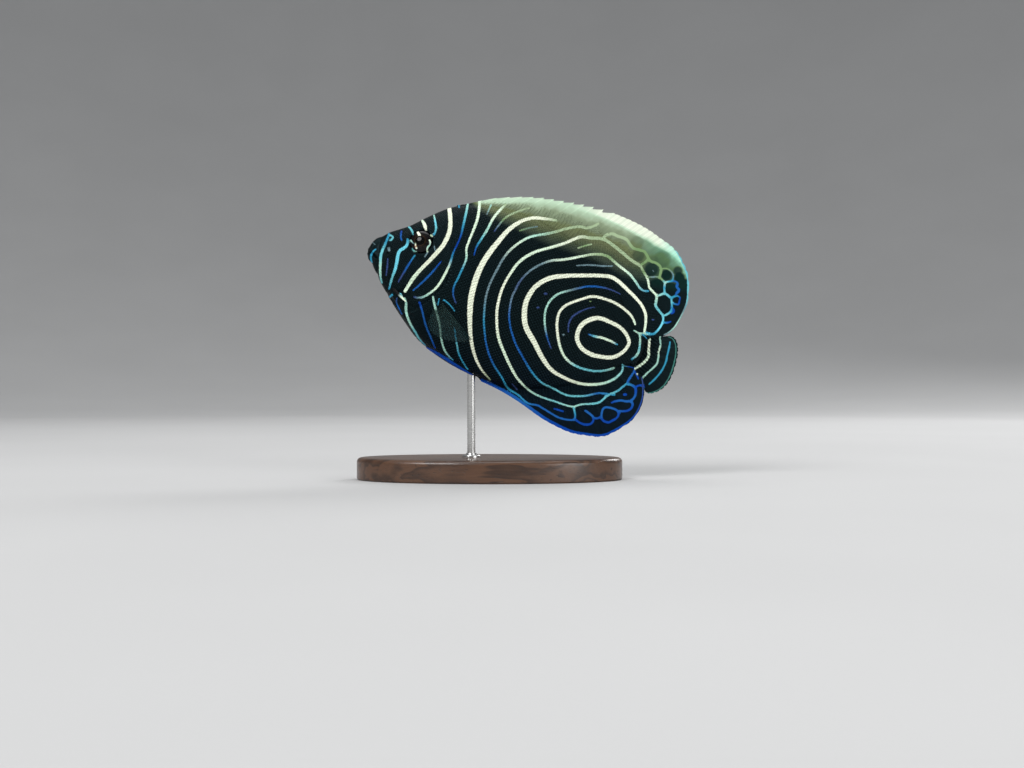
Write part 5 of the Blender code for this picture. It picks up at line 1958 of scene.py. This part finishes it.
@dataclass
class CheekSpines:
    """A spine at the lower corner of each cheek."""

    form: FishForm
    root: tuple[float, float] = (12.6 * MM, -9.6 * MM)
    tip: tuple[float, float] = (20.5 * MM, -12.6 * MM)
    radius: float = 0.66 * MM
    stands_off: float = 1.30 * MM
    sunk: float = 0.9 * MM

    def build(self, material: bpy.types.Material) -> None:
        """Makes both spines.

        Args:
            material: Their finish.
        """
        share = np.linspace(0, 1, 40)
        x = self.root[0] + (self.tip[0] - self.root[0]) * share
        z = self.root[1] + (self.tip[1] - self.root[1]) * share
        height = (self.stands_off + self.sunk) * share ** 0.8 - self.sunk
        line = self.form.flank(x, z, -1.0) + self.form.normal(x, z, -1.0) * height[:, None]
        run = unit(np.gradient(line, axis=0))
        facing = self.form.normal(x, z, -1.0)
        across = unit(np.cross(run, facing))
        up = np.cross(across, run)
        radius = self.radius * np.sqrt(np.clip(1 - share ** 1.5, 0.0004, 1))
        turn = np.linspace(0, 2 * math.pi, 24, endpoint=False)
        ring = across[:, None] * np.cos(turn)[:, None] + up[:, None] * np.sin(turn)[:, None] * 0.8
        rings = (line[:, None] + ring * radius[:, None, None]).reshape(-1, 3)
        left = np.concatenate([rings, line[:1], line[-1:]])
        faces = grid_faces(40, 24, closed=True).tolist()
        faces += [[(k + 1) % 24, k, 960] for k in range(24)]
        faces += [[936 + k, 936 + (k + 1) % 24, 961] for k in range(24)]
        for word, right in (("left", False), ("right", True)):
            points = self.form.mirrored(left) if right else left
            turned = [face[::-1] for face in faces] if right else faces
            piece = make_piece("cheek_spine_" + word, self.form.to_world(points), turned, material)
            give(piece, "along", np.append(np.repeat(share, 24), (0.0, 1.0)))


@dataclass
class Stand:
    """An oval wooden plinth, a steel rod and the collar at its foot."""

    length: float = 96 * MM
    width: float = 52 * MM
    height: float = 8 * MM
    rounding: float = 1.6 * MM
    foot: float = 0.5 * MM
    rod_radius: float = 1.5 * MM
    sides: int = 160

    def turned(self, name: str, profile: list[tuple[float, float]], centre: float, oval: tuple[float, float],
               material: bpy.types.Material, slot: str, nodes: tuple[str, ...]) -> Object:
        """A closed body of oval rings.

        Args:
            name: The piece's name.
            profile: How far each ring lies inside the widest, and its height.
            centre: Where the middle lies along X.
            oval: Half of the widest ring's length and width.
            material: Its finish.
            slot: Not used.
            nodes: The solids that it stands for.

        Returns:
            The piece.
        """
        turn = np.linspace(0, 2 * math.pi, self.sides, endpoint=False)
        rings = [np.stack([centre + (oval[0] - inset) * np.cos(turn), (oval[1] - inset) * np.sin(turn),
                           np.full(self.sides, z)], 1) for inset, z in profile]
        ends = np.array([[centre, 0, profile[0][1]], [centre, 0, profile[-1][1]]])
        points = np.concatenate(rings + [ends])
        last = (len(rings) - 1) * self.sides
        faces = grid_faces(len(rings), self.sides, closed=True).tolist()
        for k in range(self.sides):
            after = (k + 1) % self.sides
            faces.append([after, k, len(points) - 2])
            faces.append([last + k, last + after, len(points) - 1])
        piece = make_piece(name, points, faces, material, nodes)
        piece.data.set_sharp_from_angle(angle=math.radians(38))
        return piece

    def arc(self, radius: float, inset: float, z: float) -> list[tuple[float, float]]:
        """Part of a profile that rounds an edge by a quarter turn."""
        angles = np.linspace(0, math.pi / 2, 7)
        return [(inset - radius * math.cos(a), z + radius * math.sin(a)) for a in angles]

    def build(self, form: FishForm, wood: bpy.types.Material, steel: bpy.types.Material) -> None:
        """Makes the stand.

        Args:
            form: The body that the rod holds up.
            wood: The base's finish.
            steel: The finish of the rod and its collar.
        """
        plinth = [(self.foot, 0.0), (0.0, self.foot)]
        plinth += self.arc(self.rounding, self.rounding, self.height - self.rounding)
        plinth += [(12 * MM, self.height), (24 * MM, self.height)]
        self.turned("stand_plinth", plinth, 0.0, (self.length / 2, self.width / 2), wood, "base_wood",
                    ("stand_base",))
        at = 50.7 * MM
        belly = float(form.profile(form.belly, np.array([at]))[0]) * form.length
        foot = form.to_world(np.array([[at, 0.0, belly]]))[0]
        rod = [(0.0, self.height - 4 * MM), (0.0, foot[2] + 3.5 * MM)]
        radius = self.rod_radius
        self.turned("stand_post", rod, foot[0], (radius, radius), steel, "rod_steel", ("stand_rod",))
        wide = 3.4 * MM
        collar = [(0.0, self.height - 0.5 * MM), (0.0, self.height + 0.5 * MM)]
        collar += self.arc(0.4 * MM, 0.4 * MM, self.height + 0.5 * MM)
        collar += [(1.3 * MM, self.height + 0.9 * MM), (1.5 * MM, self.height + 1.5 * MM),
                   (1.75 * MM, self.height + 1.6 * MM), (1.95 * MM, self.height + 1.6 * MM)]
        self.turned("stand_collar", collar, foot[0], (wide, wide), steel, "rod_steel", ())


@dataclass
class Studio:
    """A pale floor that curves up into a wall far off all round, and soft lights."""

    flat: float = 1.1
    curve: float = 1.9
    wall: float = 3.4
    lights: tuple = (("key", (-0.75, -1.05, 1.05), 0.80, 17.0), ("fill", (1.10, -1.00, 0.45), 0.90, 8.5),
                     ("top", (0.10, 0.25, 1.35), 1.10, 9.0), ("rim", (0.75, 0.85, 0.75), 0.60, 7.0))

    def floor_finish(self) -> bpy.types.Material:
        """Matt pale paper.

        Returns:
            The material.
        """
        finish = Finish("studio_paper", Roughness=0.85, Specular_IOR_Level=0.2)
        shade = finish.shader.spread(finish.shader.noise(6, 2.0), 0.2, 0.8, 0.50, 0.52)
        finish.set(Base_Color=finish.shader.node("CombineColor", {0: shade, 1: shade, 2: shade}).outputs[0],
                   Normal=finish.shader.bump(finish.shader.noise(700, 2.0), 0.02 * MM))
        return finish.material

    def build(self) -> None:
        """Makes floor, lights and surroundings."""
        turn = np.linspace(0, math.pi / 2, 24)
        reach = np.concatenate([[0.02, 0.4], self.flat + self.curve * np.sin(turn), [self.flat + self.curve]])
        z = np.concatenate([[0.0, 0.0], self.curve - self.curve * np.cos(turn), [self.wall]])
        round_ = np.linspace(0, 2 * math.pi, 96, endpoint=False)
        points = np.stack([np.outer(reach, np.cos(round_)), np.outer(reach, np.sin(round_)),
                           np.repeat(z[:, None], 96, axis=1)], -1).reshape(-1, 3)
        faces = grid_faces(len(reach), 96, closed=True)[:, ::-1].tolist() + [list(range(96))]
        mesh = bpy.data.meshes.new("studio_floor")
        mesh.from_pydata(points.tolist(), [], faces)
        mesh.shade_smooth()
        mesh.materials.append(self.floor_finish())
        floor = bpy.data.objects.new("studio_floor", mesh)
        bpy.context.scene.collection.objects.link(floor)
        aim = Vector((0.012, 0.0, 0.055))
        for name, place, size, power in self.lights:
            data = bpy.data.lights.new(name, "AREA")
            data.shape, data.size, data.energy = "DISK", size, power
            lamp = bpy.data.objects.new(name, data)
            lamp.location = place
            lamp.rotation_euler = (aim - Vector(place)).to_track_quat("-Z", "Y").to_euler()
            bpy.context.scene.collection.objects.link(lamp)
        world = bpy.data.worlds.new("studio_air")
        world.use_nodes = True
        sky = world.node_tree.nodes["Background"].inputs
        sky["Color"].default_value, sky["Strength"].default_value = (0.94, 0.97, 1.0, 1.0), 0.44
        bpy.context.scene.world = world
        bpy.context.scene.view_settings.view_transform = "Standard"


def main() -> None:
    """Builds the scene."""
    logging.basicConfig(level=logging.INFO, format="%(message)s")
    view = SideView()
    view.place_camera()
    form = FishForm()
    relief = Relief(form)
    markings = Markings(form, view)
    paint = paint_group()
    scale = ScaleFinish().make(paint)
    blades = Fins(form, markings).build(FinFinish().make(paint), ClearFinFinish().make())
    Skin(form, relief, markings).build(SkinFinish().make(paint))
    coat = ScaleCoat(form, relief, markings)
    coat.body("head_scales", 5.0 * MM, 31.0 * MM, 0.46 * MM, 0.82 * MM, scale)
    coat.body("flank_scales", 31.0 * MM, 104.6 * MM, 0.70 * MM, 1.24 * MM, scale)
    FinScales(coat).build(blades, scale)
    Eyes(form, markings).build(EyeFinish().make(paint))
    CheekSpines(form).build(SpineFinish().make())
    Stand().build(form, WoodFinish().make(), SteelFinish().make())
    Studio().build()


if __name__ == "__main__":
    main()
